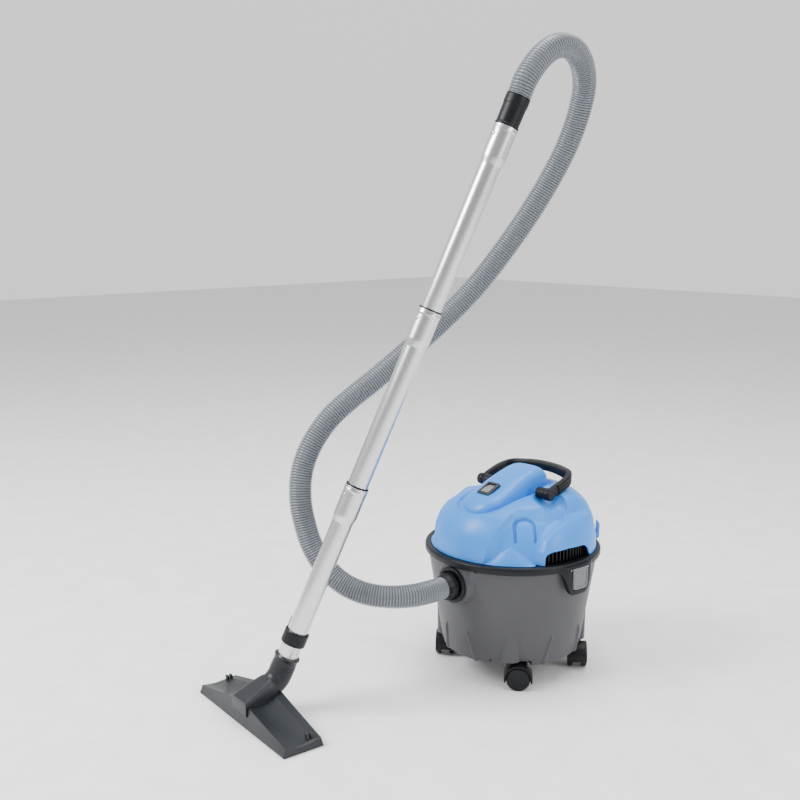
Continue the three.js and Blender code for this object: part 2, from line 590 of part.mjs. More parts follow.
function makeToolBody() {
  const { length, depth, endHeight, centreHeight, wall } = TOOL;
  const [halfLength, halfDepth] = [length / 2, depth / 2];
  const front = [[-halfLength, 1], [halfLength, 1], [halfLength, endHeight], [34, centreHeight - 5],
    [24, centreHeight], [-24, centreHeight], [-34, centreHeight - 5], [-halfLength, endHeight]];
  let body = frontPrism(front, -halfDepth, halfDepth);
  for (const side of [1, -1]) {
    const trough = rod([side * 24, 6, 68], [side * 200, 6, 38], 34, ROUND.medium);
    body = cut(body, trough);
  }
  const hollow = frontPrism([[-halfLength + wall, -5], [halfLength - wall, -5], [halfLength - wall, 5.5],
    [26, 9.5], [-26, 9.5], [-halfLength + wall, 5.5]], -halfDepth + wall, halfDepth - wall);
  const stub = rod(alongStub(-64), alongStub(SEAM), 21.5, ROUND.medium);
  const duct = rod(alongStub(-58), alongStub(SEAM + 2), 15.4, ROUND.medium);
  const throat = rod([0, -8, -5], [0, -8, 34], 15.4, ROUND.medium);
  const below = box(-200, 200, -100, 100, -60, 1);
  const ahead = box(-60, 60, -120, -halfDepth, -20, 80);
  const neckRoom = rod(alongStub(SEAM), alongStub(40), 24.5, ROUND.large);
  return cut(join(body, stub), hollow, duct, throat, below, ahead, neckRoom);
}

function makeToolSole() {
  const { length, depth, wall } = TOOL;
  const [x, y] = [length / 2 - wall - GAP, depth / 2 - wall - GAP];
  const plate = box(-x, x, -y, y, 1.6, 4.2);
  const slot = box(-x + 12, x - 12, -14, 6, 0, 10);
  const grooves = [-y + 6, y - 6].map((at) => box(-x + 6, x - 6, at - 2.5, at + 2.5, 0, 10));
  return cut(plate, slot, ...grooves);
}

function makeLip(direction) {
  const x = TOOL.length / 2 - TOOL.wall - 8;
  const y = direction * (TOOL.depth / 2 - TOOL.wall - GAP - 6);
  return box(-x, x, y - 2, y + 2, 0, 5);
}

function makeToolNeck() {
  const path = curveThrough([alongStub(SEAM - 2), alongStub(-8), alongStub(-2), alongWand(5),
    alongWand(14), alongWand(28), alongWand(NECK_LENGTH)]);
  const stubRoom = rod(alongStub(-60), alongStub(SEAM + GAP), 30, ROUND.medium);
  const outer = cut(sweep(path, 20.8, 20.8, ROUND.medium, 14), stubRoom);
  const duct = rod(alongWand(-2), alongWand(20), 15.2, ROUND.medium);
  const lowerDuct = rod(alongStub(SEAM - 20), alongStub(2), 12.2, ROUND.medium);
  const spigot = rod(alongStub(SEAM - 12), alongStub(SEAM + 4), 14.8, ROUND.medium);
  const bore = rod(alongWand(NECK_LENGTH - WAND.insertion), alongWand(NECK_LENGTH + 10),
    WAND.radius + 2 * GAP, ROUND.large);
  return cut(join(outer, spigot), duct, lowerDuct, bore);
}

// ---------------------------------------------------------------- assembly
const vacuum = new THREE.Group();

addPiece(vacuum, "tub", makeTub(), TUB_GREY);
addPiece(vacuum, "rim_collar", makeCollar(), BLACK);
addPiece(vacuum, "inlet_flange", makeInletFlange(), BLACK);
addPiece(vacuum, "inlet_deflector", makeDeflector(), BLACK);
for (const [side, name] of [[1, "right"], [-1, "left"]]) {
  addPiece(vacuum, `latch_pin_${name}`, makeLatchPin(side), STEEL);
  addPiece(vacuum, `latch_${name}`, makeLatch(side), CLIP_GREY);
  addPiece(vacuum, `vent_grille_${name}`, makeVentGrille(side), BLACK);
  addPiece(vacuum, `handle_pin_${name}`, makePivotPin(side), STEEL);
  addPiece(vacuum, `handle_cap_${name}`, makePivotCap(side), BLACK);
}
addPiece(vacuum, "motor_cover", makeMotorCover(), BLUE);
addPiece(vacuum, "top_cover", makeTopCover(), BLUE);
addPiece(vacuum, "switch_bezel", makeSwitchBezel(), BLACK);
addPiece(vacuum, "power_rocker", makeRocker(), CLIP_GREY);
addPiece(vacuum, "head_base", makeHeadBase(), BLACK);
addPiece(vacuum, "tub_gasket", makeGasket(), RUBBER);
addPiece(vacuum, "fan_housing", makeFanHousing(), STEEL);
addPiece(vacuum, "motor_can", makeMotorCan(), STEEL);
addPiece(vacuum, "motor_stator", makeStator(), COPPER);
addPiece(vacuum, "motor_rotor", makeRotor(), STEEL);
addPiece(vacuum, "impeller", makeImpeller(), ALUMINIUM);
addPiece(vacuum, "filter_cage", makeFilterCage(), BLACK);
addPiece(vacuum, "filter_sleeve", ring(CAGE.outerR + GAP, CAGE.outerR + 7, 124, 216), FILTER);
addPiece(vacuum, "filter_band", ring(CAGE.outerR + 7 + GAP, CAGE.outerR + 9.5, 206, 212), RUBBER);
addPiece(vacuum, "float_ball", ball([0, 0, CAGE.lowZ + CAGE.wall + FLOAT_R + 0.2], FLOAT_R), CLIP_GREY);
addPiece(vacuum, "cable_gland", makeCableGland(), RUBBER);
addPiece(vacuum, "cable_hook", makeCableHook(), BLUE);
addPiece(vacuum, "carry_handle", makeHandle(), BLACK);
CASTER_NAMES.forEach((name, i) => addCaster(vacuum, name, CASTER_DEGREES[i], CASTER_TURNS[i]));
addPiece(vacuum, "hose_cuff", makeHoseCuff(), BLACK);
addPiece(vacuum, "hose", makeHose(), HOSE_GREY);

const tool = new THREE.Group();
tool.position.set(...TOOL_CENTRE);
tool.rotation.z = TOOL.yawDeg * Math.PI / 180;
vacuum.add(tool);
addPiece(tool, "tool_body", makeToolBody(), TOOL_BLACK);
addPiece(tool, "tool_sole", makeToolSole(), TOOL_BLACK);
addPiece(tool, "tool_lip_front", makeLip(-1), RUBBER);
addPiece(tool, "tool_brush_rear", makeLip(1), RUBBER);
addPiece(tool, "tool_neck", makeToolNeck(), TOOL_BLACK);

const wand = new THREE.Group();
wand.position.set(...alongWand(NECK_LENGTH));
wand.quaternion.setFromUnitVectors(new THREE.Vector3(0, 0, 1), WAND_DIRECTION);
tool.add(wand);
const mouths = [1, 2, 3].map((count) => count * WAND.pitch);
const starts = [0, mouths[0], mouths[1]].map((mouth) => mouth - WAND.insertion + GAP);
["lower", "middle", "upper"].forEach((name, i) => {
  addPiece(wand, `wand_${name}`, makeWandSection(starts[i], mouths[i]), ALUMINIUM);
  addPiece(wand, `snap_button_${name}`, makeSnapButton(mouths[i] - WAND.insertion / 2), STEEL);
});
addPiece(wand, "clip_collar", makeClipCollar(), BLACK);
addPiece(wand, "hose_end_tube", makeHoseEndTube(mouths[2]), BLACK);

// The origin is the middle of the footprint, without the hose and the fittings on it.
const HOSE_PIECES = ["hose", "hose_cuff", "hose_end_tube"];
vacuum.updateMatrixWorld(true);
const footprint = new THREE.Box3();
vacuum.traverse((piece) => {
  if (piece.isMesh && !HOSE_PIECES.includes(piece.name)) footprint.expandByObject(piece, true);
});
const middle = footprint.getCenter(new THREE.Vector3());
vacuum.position.set(-middle.x, -middle.y, -footprint.min.z);

export default vacuum;
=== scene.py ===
import json
import math
import bmesh
import bpy
import numpy as np
from mathutils import Matrix, Vector


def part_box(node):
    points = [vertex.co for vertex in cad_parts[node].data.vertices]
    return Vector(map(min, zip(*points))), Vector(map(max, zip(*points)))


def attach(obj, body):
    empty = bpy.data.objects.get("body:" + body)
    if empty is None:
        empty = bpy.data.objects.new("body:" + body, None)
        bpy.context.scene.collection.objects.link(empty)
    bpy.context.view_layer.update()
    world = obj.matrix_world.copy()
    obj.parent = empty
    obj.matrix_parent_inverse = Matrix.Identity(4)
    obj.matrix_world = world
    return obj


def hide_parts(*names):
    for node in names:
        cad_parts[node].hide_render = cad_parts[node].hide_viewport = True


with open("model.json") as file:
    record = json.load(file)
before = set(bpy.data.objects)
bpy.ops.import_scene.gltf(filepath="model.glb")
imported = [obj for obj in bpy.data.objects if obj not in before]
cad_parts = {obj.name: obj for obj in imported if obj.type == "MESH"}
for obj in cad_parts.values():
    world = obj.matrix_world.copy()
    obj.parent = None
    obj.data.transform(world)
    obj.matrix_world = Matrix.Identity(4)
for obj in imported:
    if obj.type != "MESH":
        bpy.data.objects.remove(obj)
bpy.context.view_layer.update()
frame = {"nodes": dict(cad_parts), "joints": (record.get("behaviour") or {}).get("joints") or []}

# ---------------------------------------------------------------- dimensions, millimetres
FOCAL_MM = 47.25
CAMERA_PITCH = 10.0
CAMERA_AZIMUTH = 47.3
EYE = (1239.9, -1428.5, 830.0)

SKY_BRIGHT_WAY = (-0.7, 0.65, 0.3)
SKY_DIM = 0.45
SKY_BRIGHT = 1.15

HOSE_RADIUS = 20.0
RIB_PITCH = 4.5
RIB_DEPTH = 2.2
HOSE_ROUTE = [
    (0, -186.4, 186), (0, -216, 186.5), (-8, -252, 186.5), (-28, -286, 188), (-57, -313, 193),
    (-87, -333, 206), (-115, -348, 229), (-140, -359, 264), (-157, -364, 308), (-166, -365, 350),
    (-170, -357, 396), (-166, -338, 440), (-156, -307, 482), (-143, -270, 514), (-128, -231, 543),
    (-107, -184, 583), (-74, -123, 640), (-34, -61, 714), (18, 2, 826), (58, 36, 918),
    (82, 47, 980), (103, 42, 1036), (117, 18, 1074), (125, -18, 1095), (127, -58, 1096),
    (123, -93, 1077), (115.9, -120, 1043.5), (108.8, -130.2, 1014),
]

DOME_FRONT = [(151, 233.4), (150.4, 246), (147.5, 262), (142, 280), (132.5, 297), (118, 312),
              (97, 323.5), (72, 330), (40, 333.5), (0, 335)]
DOME_REAR = [(151, 233.4), (150, 250), (147, 272), (138, 305), (114, 329), (80, 340), (40, 344), (0, 345)]
DOME_WALL = 2.6
PANEL_DEPTH = 11.5
GROOVE_HALF = 19.0
GROOVE_LEG = 30.0
GROOVE_DEPTH = 5.2
PANEL_CREASE = [(-68.3, 228), (-68.3, 235), (-66.9, 252), (-63.3, 277), (-57.6, 300), (-50.7, 316),
                (-41.4, 324)]
FENDER_EDGE = [(60, 292), (40, 298), (21.7, 300.7), (0, 300.6), (-16, 291), (-24, 275), (-27.7, 255),
               (-28.3, 233), (-28.3, 228)]
FACET = [(-68.3, 235), (-49.9, 268), (-31.6, 232)]
NOTCH = [(-27.2, 225), (-26.6, 247), (-25.2, 252.6), (-21.2, 255.9), (-7.9, 257.8), (5, 256.2),
         (8.6, 254), (11.4, 248.3), (15.6, 225)]
MOAT = [(0, -121), (20, -118.5), (35, -112), (46, -101), (51.5, -84), (52, -48), (51, -3), (49, 40),
        (42, 64), (25, 74), (0, 76)]
TONGUE_CREST = [(-114, 313), (-109, 322), (-100, 330), (-84, 337), (-66, 342), (-30, 357), (0, 367),
                (28, 372.5), (44, 371.5), (54, 366), (60, 358), (64, 344)]
TONGUE_HALF = 39.0
TONGUE_NOSE = -73.0
TONGUE_TAIL = 34.0

TUB_FLOOR = (128.0, 41.0)
TUB_TOP = (157.2, 228.6)
WELL_RADIUS = 37.0
WELL_TOP = 51.0
CASTER_DEGREES = {"front_right": -49, "rear_right": 41, "rear_left": 131, "front_left": -139}
CASTER_TURNS = {"front_right": 90, "rear_right": -90, "rear_left": 90, "front_left": -90}
LATCH_TURN = -4.0
CASTER_PIVOT = 124.0
CASTER_TRAIL = 15.0
WHEEL_RADIUS = 21.0
INLET_Z = 186.0
LATCH_PIN = (166.0, 223.4)
TUB_UNROLL = 2.62

PIVOT = (79.0, 5.0, 336.0)

WAND_RADIUS = 17.5
SOCKET_RADIUS = 19.8
WAND_STARTS = {"lower": -33.7, "middle": 279.3, "upper": 592.3}
WAND_MOUTHS = {"lower": 313.0, "middle": 626.0, "upper": 939.0}
NECK_LENGTH = 44.7
ELBOW = (0.0, 37.9, 58.3)
STUB_RINGS = [(-82, 24, 21, 9), (-60, 23.5, 21.3, 8), (-38, 22.4, 21.5, 5), (-22, 21.6, 21.5, 3),
              (-14.3, 21.4, 21.4, 2.4)]

# ---------------------------------------------------------------- frames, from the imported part
low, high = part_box("tub_gasket")
AXIS_X = (low.x + high.x) / 2
AXIS_Y = (low.y + high.y) / 2
MM = Matrix.Scale(0.001, 4)
SIDEWAYS = Matrix(((0, 0, 1, 0), (1, 0, 0, 0), (0, 1, 0, 0), (0, 0, 0, 1)))
UPRIGHT = Matrix(((1, 0, 0, 0), (0, 0, -1, 0), (0, 1, 0, 0), (0, 0, 0, 1)))
TUB = Matrix.Translation((AXIS_X, AXIS_Y, 0)) @ MM


def joint(name):
    """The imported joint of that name."""
    return next(j for j in frame["joints"] if j["name"] == name)


def middle(node):
    """The centre of a CAD node's box."""
    lo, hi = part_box(node)
    return (lo + hi) / 2


swivel = joint("tool_swivel")
swivel_axis = Vector(swivel["axis"])
TOOL_YAW = math.atan2(-swivel_axis.x, swivel_axis.y)
STUB_SLOPE = math.asin(swivel_axis.z)
TOOL = (Matrix.Translation(Vector(swivel["pos_m"])) @ Matrix.Rotation(TOOL_YAW, 4, "Z")
        @ MM @ Matrix.Translation(-Vector(ELBOW)))
wand_direction = (middle("snap_button_upper") - middle("snap_button_lower")).normalized()
wand_local = Matrix.Rotation(-TOOL_YAW, 3, "Z") @ wand_direction
wand_turn = Vector((0, 0, 1)).rotation_difference(wand_local).to_matrix().to_4x4()
WAND = TOOL @ Matrix.Translation(ELBOW) @ wand_turn @ Matrix.Translation((0, 0, NECK_LENGTH))


# ---------------------------------------------------------------- camera, stage and lights
def add_camera():
    """The camera at the photo's angle."""
    data = bpy.data.cameras.new("camera")
    data.lens = FOCAL_MM
    data.sensor_width = 36
    data.clip_end = 50
    camera = bpy.data.objects.new("camera", data)
    bpy.context.scene.collection.objects.link(camera)
    turn = Matrix.Rotation(math.radians(CAMERA_AZIMUTH), 4, "Z")
    tip = Matrix.Rotation(math.radians(90 - CAMERA_PITCH), 4, "X")
    camera.matrix_world = Matrix.Translation(TUB @ Vector(EYE)) @ turn @ tip
    bpy.context.scene.camera = camera


def add_light(name, place, target, size, watts):
    """A soft rectangular light aimed at a point."""
    data = bpy.data.lights.new(name, "AREA")
    data.shape = "RECTANGLE"
    data.size, data.size_y = size
    data.energy = watts
    light = bpy.data.objects.new(name, data)
    light.location = place
    aim = Vector(target) - Vector(place)
    light.rotation_euler = aim.to_track_quat("-Z", "Y").to_euler()
    bpy.context.scene.collection.objects.link(light)


def add_stage():
    """A pale floor, a soft key from the left, a fill from the right, a light above and the sky."""
    mesh = bpy.data.meshes.new("floor")
    half = 9.0
    corners = [(-half, -half, 0), (half, -half, 0), (half, half, 0), (-half, half, 0)]
    mesh.from_pydata(corners, [], [(0, 1, 2, 3)])
    floor = bpy.data.objects.new("floor", mesh)
    bpy.context.scene.collection.objects.link(floor)
    floor.data.materials.append(plastic("stage_floor", (0.9, 0.9, 0.9), 0.7, grain=0.02, scale=60))
    add_light("key", (-1.2, -2.3, 2.4), (0, -0.1, 0.35), (1.5, 1.5), 150)
    add_light("fill", (2.7, 0.6, 1.5), (0, 0, 0.4), (1.2, 2.0), 40)
    add_light("top", (0.2, 0.5, 3.2), (0, 0, 0.3), (2.2, 2.2), 90)
    add_sky()


def add_sky():
    """A plain white sky, brighter behind the object than in front of it."""
    world = bpy.data.worlds.new("world")
    bpy.context.scene.world = world
    world.use_nodes = True
    tree = world.node_tree
    background = tree.nodes["Background"]
    background.inputs["Color"].default_value = (1, 1, 1, 1)
    coords = tree.nodes.new("ShaderNodeTexCoord")
    facing = tree.nodes.new("ShaderNodeVectorMath")
    facing.operation = "DOT_PRODUCT"
    facing.inputs[1].default_value = SKY_BRIGHT_WAY
    tree.links.new(coords.outputs["Generated"], facing.inputs[0])
    scale = tree.nodes.new("ShaderNodeMapRange")
    scale.inputs["From Min"].default_value = -1
    scale.inputs["To Min"].default_value = SKY_DIM
    scale.inputs["To Max"].default_value = SKY_BRIGHT
    tree.links.new(facing.outputs["Value"], scale.inputs["Value"])
    tree.links.new(scale.outputs["Result"], background.inputs["Strength"])


# ---------------------------------------------------------------- materials
def start_material(name):
    """A new material and its tree, its shader and its coordinates in the piece's own frame."""
    material = bpy.data.materials.new(name)
    material.use_nodes = True
    tree = material.node_tree
    return material, tree, tree.nodes["Principled BSDF"], tree.nodes.new("ShaderNodeTexCoord")


def add_noise(tree, coords, scale, detail=4.0, stretch=None):
    """A noise texture, stretched along an axis if asked."""
    noise = tree.nodes.new("ShaderNodeTexNoise")
    noise.inputs["Scale"].default_value = scale
    noise.inputs["Detail"].default_value = detail
    source = coords.outputs["Object"]
    if stretch:
        mapping = tree.nodes.new("ShaderNodeMapping")
        mapping.inputs["Scale"].default_value = stretch
        tree.links.new(source, mapping.inputs["Vector"])
        source = mapping.outputs["Vector"]
    tree.links.new(source, noise.inputs["Vector"])
    return noise.outputs["Fac"]


def ramp(tree, source, dark, light, low=0.3, high=0.7):
    """Maps 0..1 to a colour between dark and light."""
    node = tree.nodes.new("ShaderNodeValToRGB")
    node.color_ramp.elements[0].position = low
    node.color_ramp.elements[0].color = (*dark, 1)
    node.color_ramp.elements[1].position = high
    node.color_ramp.elements[1].color = (*light, 1)
    tree.links.new(source, node.inputs["Fac"])
    return node.outputs["Color"]


def spread(tree, source, low, high):
    """Maps 0..1 to low..high."""
    node = tree.nodes.new("ShaderNodeMapRange")
    node.inputs["To Min"].default_value = low
    node.inputs["To Max"].default_value = high
    tree.links.new(source, node.inputs["Value"])
    return node.outputs["Result"]


def add_bump(tree, shader, source, strength, distance=0.0004):
    """Adds relief from a grey value."""
    bump = tree.nodes.new("ShaderNodeBump")
    bump.inputs["Strength"].default_value = strength
    bump.inputs["Distance"].default_value = distance
    tree.links.new(source, bump.inputs["Height"])
    tree.links.new(bump.outputs["Normal"], shader.inputs["Normal"])


def plastic(name, colour, roughness, grain=0.15, scale=900, shift=0.04, coat=0.0, specular=0.5):
    """Moulded plastic: fine grain, slow colour drift, uneven gloss."""
    material, tree, shader, coords = start_material(name)
    slow = add_noise(tree, coords, 14, 3)
    dark = [c * (1 - shift) for c in colour]
    light = [min(1, c * (1 + shift)) for c in colour]
    tree.links.new(ramp(tree, slow, dark, light), shader.inputs["Base Color"])
    patch = add_noise(tree, coords, 45, 5)
    rough = spread(tree, patch, roughness - 0.05, roughness + 0.06)
    tree.links.new(rough, shader.inputs["Roughness"])
    fine = add_noise(tree, coords, scale, 2)
    add_bump(tree, shader, fine, grain, 0.0002)
    shader.inputs["Specular IOR Level"].default_value = specular
    shader.inputs["Coat Weight"].default_value = coat
    shader.inputs["Coat Roughness"].default_value = 0.12
    return material


def metal(name, colour, roughness, stretch=(1, 1, 0.02), scale=900, grain=0.12):
    """Metal with fine lines along one axis of the piece."""
    material, tree, shader, coords = start_material(name)
    shader.inputs["Metallic"].default_value = 1.0
    lines = add_noise(tree, coords, scale, 3, stretch)
    dark = [c * 0.93 for c in colour]
    tree.links.new(ramp(tree, lines, dark, colour), shader.inputs["Base Color"])
    tree.links.new(spread(tree, lines, roughness - 0.06, roughness + 0.08), shader.inputs["Roughness"])
    add_bump(tree, shader, lines, grain, 0.0001)
    return material


def banded(name, colour, roughness, scale, direction, grain, metallic=0.0):
    """A surface of fine parallel bands, such as a winding, bristles or woven cloth."""
    material, tree, shader, coords = start_material(name)
    wave = tree.nodes.new("ShaderNodeTexWave")
    wave.bands_direction = direction
    wave.inputs["Scale"].default_value = scale
    wave.inputs["Distortion"].default_value = 1.2
    wave.inputs["Detail"].default_value = 2.0
    tree.links.new(coords.outputs["Object"], wave.inputs["Vector"])
    dark = [c * 0.6 for c in colour]
    tree.links.new(ramp(tree, wave.outputs["Fac"], dark, colour), shader.inputs["Base Color"])
    rough = spread(tree, wave.outputs["Fac"], roughness + 0.08, roughness - 0.05)
    tree.links.new(rough, shader.inputs["Roughness"])
    add_bump(tree, shader, wave.outputs["Fac"], grain)
    shader.inputs["Metallic"].default_value = metallic
    return material


# ---------------------------------------------------------------- curves and outlines
def smooth_line(points, count):
    """A Catmull-Rom line through the points, as count points at equal spacing."""
    p = np.array(points, float)
    p = np.vstack([2 * p[0] - p[1], p, 2 * p[-1] - p[-2]])
    pieces = []
    for i in range(1, len(p) - 2):
        t = np.linspace(0, 1, 24, endpoint=False)[:, None]
        a, b, c, d = p[i - 1:i + 3]
        pieces.append(0.5 * (2 * b + (c - a) * t + (2 * a - 5 * b + 4 * c - d) * t ** 2
                             + (3 * b - a - 3 * c + d) * t ** 3))
    line = np.vstack(pieces + [p[-2][None]])
    return even_line(line, count)


def even_line(line, count):
    """The same line as count points at equal spacing."""
    steps = np.linalg.norm(np.diff(line, axis=0), axis=1)
    along = np.concatenate([[0], np.cumsum(steps)])
    where = np.linspace(0, along[-1], count)
    return np.stack([np.interp(where, along, line[:, k]) for k in range(line.shape[1])], axis=1)


def rounded(outline, radius, closed=True, steps=4):
    """The outline with its corners rounded; a third number on a point is its own radius."""
    count = len(outline)
    result = []
    for i, point in enumerate(outline):
        here = np.array(point[:2], float)
        size = point[2] if len(point) > 2 else radius
        if size <= 0 or (not closed and i in (0, count - 1)):
            result.append(tuple(here))
            continue
        before = np.array(outline[i - 1][:2], float) - here
        after = np.array(outline[(i + 1) % count][:2], float) - here
        reach = min(size, 0.45 * np.linalg.norm(before), 0.45 * np.linalg.norm(after))
        first = here + before / np.linalg.norm(before) * reach
        last = here + after / np.linalg.norm(after) * reach
        for t in np.linspace(0, 1, steps + 1):
            result.append(tuple((1 - t) ** 2 * first + 2 * t * (1 - t) * here + t * t * last))
    return result


def smoothstep(low, high, x):
    """0 below low, 1 above high and an even rise between them."""
    t = np.clip((x - low) / (high - low), 0, 1)
    return t * t * (3 - 2 * t)


def swell(distance, width):
    """0 at the edge, rising steeply there and levelling off at 1 after width."""
    t = np.clip(distance / width, 0, 1)
    return 1 - (1 - t) ** 2


def line_distance(x, y, line):
    """How far each point is from a polyline."""
    best = np.full(np.shape(x), 1e9)
    for (x0, y0), (x1, y1) in zip(line[:-1], line[1:]):
        dx, dy = x1 - x0, y1 - y0
        t = np.clip(((x - x0) * dx + (y - y0) * dy) / max(dx * dx + dy * dy, 1e-9), 0, 1)
        best = np.minimum(best, np.hypot(x - x0 - t * dx, y - y0 - t * dy))
    return best


def inside(x, y, outline):
    """Which points lie inside a closed outline."""
    result = np.zeros(np.shape(x), bool)
    for (x0, y0), (x1, y1) in zip(outline, outline[1:] + outline[:1]):
        crosses = (y0 > y) != (y1 > y)
        result ^= crosses & (x < (x1 - x0) * (y - y0) / ((y1 - y0) or 1e-9) + x0)
    return result


# ---------------------------------------------------------------- meshes
def add_object(name, points, faces, material, sharp=35):
    """A mesh object, smooth except across edges sharper than the angle."""
    mesh = bpy.data.meshes.new(name)
    mesh.from_pydata([tuple(map(float, p)) for p in points], [], [tuple(map(int, f)) for f in faces])
    obj = bpy.data.objects.new(name, mesh)
    bpy.context.scene.collection.objects.link(obj)
    mesh.materials.append(material)
    clean(obj, sharp)
    return obj


def clean(obj, sharp=35):
    """Merges doubled points, points the faces outwards and sets the shading."""
    work = bmesh.new()
    work.from_mesh(obj.data)
    bmesh.ops.remove_doubles(work, verts=work.verts, dist=1e-4)
    bmesh.ops.dissolve_degenerate(work, dist=1e-4, edges=work.edges)
    bmesh.ops.recalc_face_normals(work, faces=work.faces)
    work.to_mesh(obj.data)
    work.free()
    shade(obj, sharp)


def shade(obj, sharp=35):
    """Smooth shading, except across edges sharper than the angle."""
    for polygon in obj.data.polygons:
        polygon.use_smooth = True
    obj.data.set_sharp_from_angle(angle=math.radians(sharp))


def bake(obj):
    """Applies the modifiers."""
    bpy.context.view_layer.update()
    graph = bpy.context.evaluated_depsgraph_get()
    mesh = bpy.data.meshes.new_from_object(obj.evaluated_get(graph))
    obj.modifiers.clear()
    obj.data = mesh


def boolean(obj, operation, tools, sharp=35):
    """Cuts or joins other objects, which are used up."""
    for tool in tools:
        modifier = obj.modifiers.new("boolean", "BOOLEAN")
        modifier.operation = operation
        modifier.solver = "EXACT"
        modifier.object = tool
    bake(obj)
    for tool in tools:
        bpy.data.objects.remove(tool)
    while len(obj.data.materials) > 1:
        obj.data.materials.pop()
    for polygon in obj.data.polygons:
        polygon.material_index = 0
    shade(obj, sharp)
    return obj


def cut(obj, *tools, sharp=35):
    """Takes the tools' shapes out of the object."""
    return boolean(obj, "DIFFERENCE", tools, sharp)


def join(obj, *tools, sharp=35):
    """Makes one body of the object and the tools."""
    return boolean(obj, "UNION", tools, sharp)


def grid_faces(rows, columns, wrap_columns=False, wrap_rows=False):
    """Quads of a grid of points numbered row by row."""
    last_row = rows if wrap_rows else rows - 1
    last_column = columns if wrap_columns else columns - 1
    i, j = np.meshgrid(np.arange(last_row), np.arange(last_column), indexing="ij")
    below, above = i * columns, (i + 1) % rows * columns
    beside = (j + 1) % columns
    return np.stack([below + j, below + beside, above + beside, above + j], axis=-1).reshape(-1, 4)


def lathe(name, outline, material, sides=96, closed=True, sharp=35):
    """Turns an outline of (radius, height) round Z."""
    profile = np.array([p[:2] for p in outline], float)
    angle = np.linspace(0, 2 * math.pi, sides, endpoint=False)
    ring = np.stack([np.cos(angle), np.sin(angle)], axis=1)
    points = np.empty((len(profile), sides, 3))
    points[:, :, :2] = profile[:, None, :1] * ring[None]
    points[:, :, 2] = profile[:, None, 1]
    faces = grid_faces(len(profile), sides, True, closed)
    return add_object(name, points.reshape(-1, 3), faces, material, sharp)


def prism(name, outline, depth, material, bevel=0.8, segments=3, sharp=35):
    """An outline in X and Y raised along Z from 0 to depth, with its edges rounded."""
    work = bmesh.new()
    base = [work.verts.new((x, y, 0)) for x, y in outline]
    face = work.faces.new(base)
    raised = bmesh.ops.extrude_face_region(work, geom=[face])
    top = [v for v in raised["geom"] if isinstance(v, bmesh.types.BMVert)]
    bmesh.ops.translate(work, verts=top, vec=(0, 0, depth))
    bmesh.ops.recalc_face_normals(work, faces=work.faces)
    if bevel > 0:
        rims = [e for e in work.edges if len(e.link_faces) == 2 and e.calc_face_angle() > 0.6]
        bmesh.ops.bevel(work, geom=rims, offset=bevel, segments=segments, affect="EDGES",
                        profile=0.5, clamp_overlap=True)
    mesh = bpy.data.meshes.new(name)
    work.to_mesh(mesh)
    work.free()
    obj = bpy.data.objects.new(name, mesh)
    bpy.context.scene.collection.objects.link(obj)
    mesh.materials.append(material)
    shade(obj, sharp)
    return obj


def block(name, x0, x1, y0, y1, z0, z1, material, bevel=1.0):
    """A box with rounded edges."""
    obj = prism(name, [(x0, y0), (x1, y0), (x1, y1), (x0, y1)], z1 - z0, material, bevel)
    return move(obj, Matrix.Translation((0, 0, z0)))


def rod(name, start, end, radius, material, sides=48, bevel=0.0):
    """A round bar between two points."""
    start, end = Vector(start), Vector(end)
    length = (end - start).length
    outline = rounded([(0, 0, 0), (radius, 0), (radius, length), (0, length, 0)], bevel, closed=False)
    obj = lathe(name, outline, material, sides, closed=False)
    turn = Vector((0, 0, 1)).rotation_difference(end - start).to_matrix().to_4x4()
    return move(obj, Matrix.Translation(start) @ turn)


def move(obj, matrix):
    """Moves the mesh itself."""
    obj.data.transform(matrix)
    obj.data.update()
    return obj


def tube_points(line, section, up=(0, 0, 1)):
    """Points of sections along a line; section(i) gives (sideways, upwards) pairs at point i."""
    line = np.array(line, float)
    tangent = np.gradient(line, axis=0)
    tangent /= np.linalg.norm(tangent, axis=1)[:, None]
    side = np.cross(tangent, np.array(up, float))
    side /= np.linalg.norm(side, axis=1)[:, None]
    above = np.cross(side, tangent)
    rows = []
    for i, centre in enumerate(line):
        pairs = np.array(section(i))
        rows.append(centre + pairs[:, :1] * side[i] + pairs[:, 1:] * above[i])
    return np.array(rows)


def loft(name, rows, material, sharp=35):
    """A closed skin through rings of points, capped at both ends."""
    count = rows.shape[1]
    faces = [tuple(f) for f in grid_faces(len(rows), count, True)]
    last = (len(rows) - 1) * count
    faces.append(tuple(range(count)))
    faces.append(tuple(range(last, last + count)))
    return add_object(name, rows.reshape(-1, 3), faces, material, sharp)


def hand_name(side):
    """The name of the side: 1 is right, -1 is left."""
    return "right" if side > 0 else "left"


def finish_piece(obj, matrix, body, slot, *nodes):
    """Puts a finished piece in place on its body, in the stead of its CAD nodes."""
    move(obj, matrix)
    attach(obj, body)
    if nodes:
        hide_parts(*nodes)
    return obj


# ---------------------------------------------------------------- the hose
def hose_line(steps):
    """The hose's centre line in the row frame, as equally spaced points."""
    points = [TUB @ Vector(p) for p in HOSE_ROUTE]
    return smooth_line([tuple(p) for p in points], steps)


def carried_frames(line):
    """Two directions across the line at each point, turning as little as they can."""
    tangent = np.gradient(line, axis=0)
    tangent /= np.linalg.norm(tangent, axis=1)[:, None]
    across = np.cross(tangent[0], (0.0, 0.0, 1.0))
    across /= np.linalg.norm(across)
    sides = []
    for t in tangent:
        across = across - t * np.dot(across, t)
        across /= np.linalg.norm(across)
        sides.append(across)
    sides = np.array(sides)
    return sides, np.cross(tangent, sides)


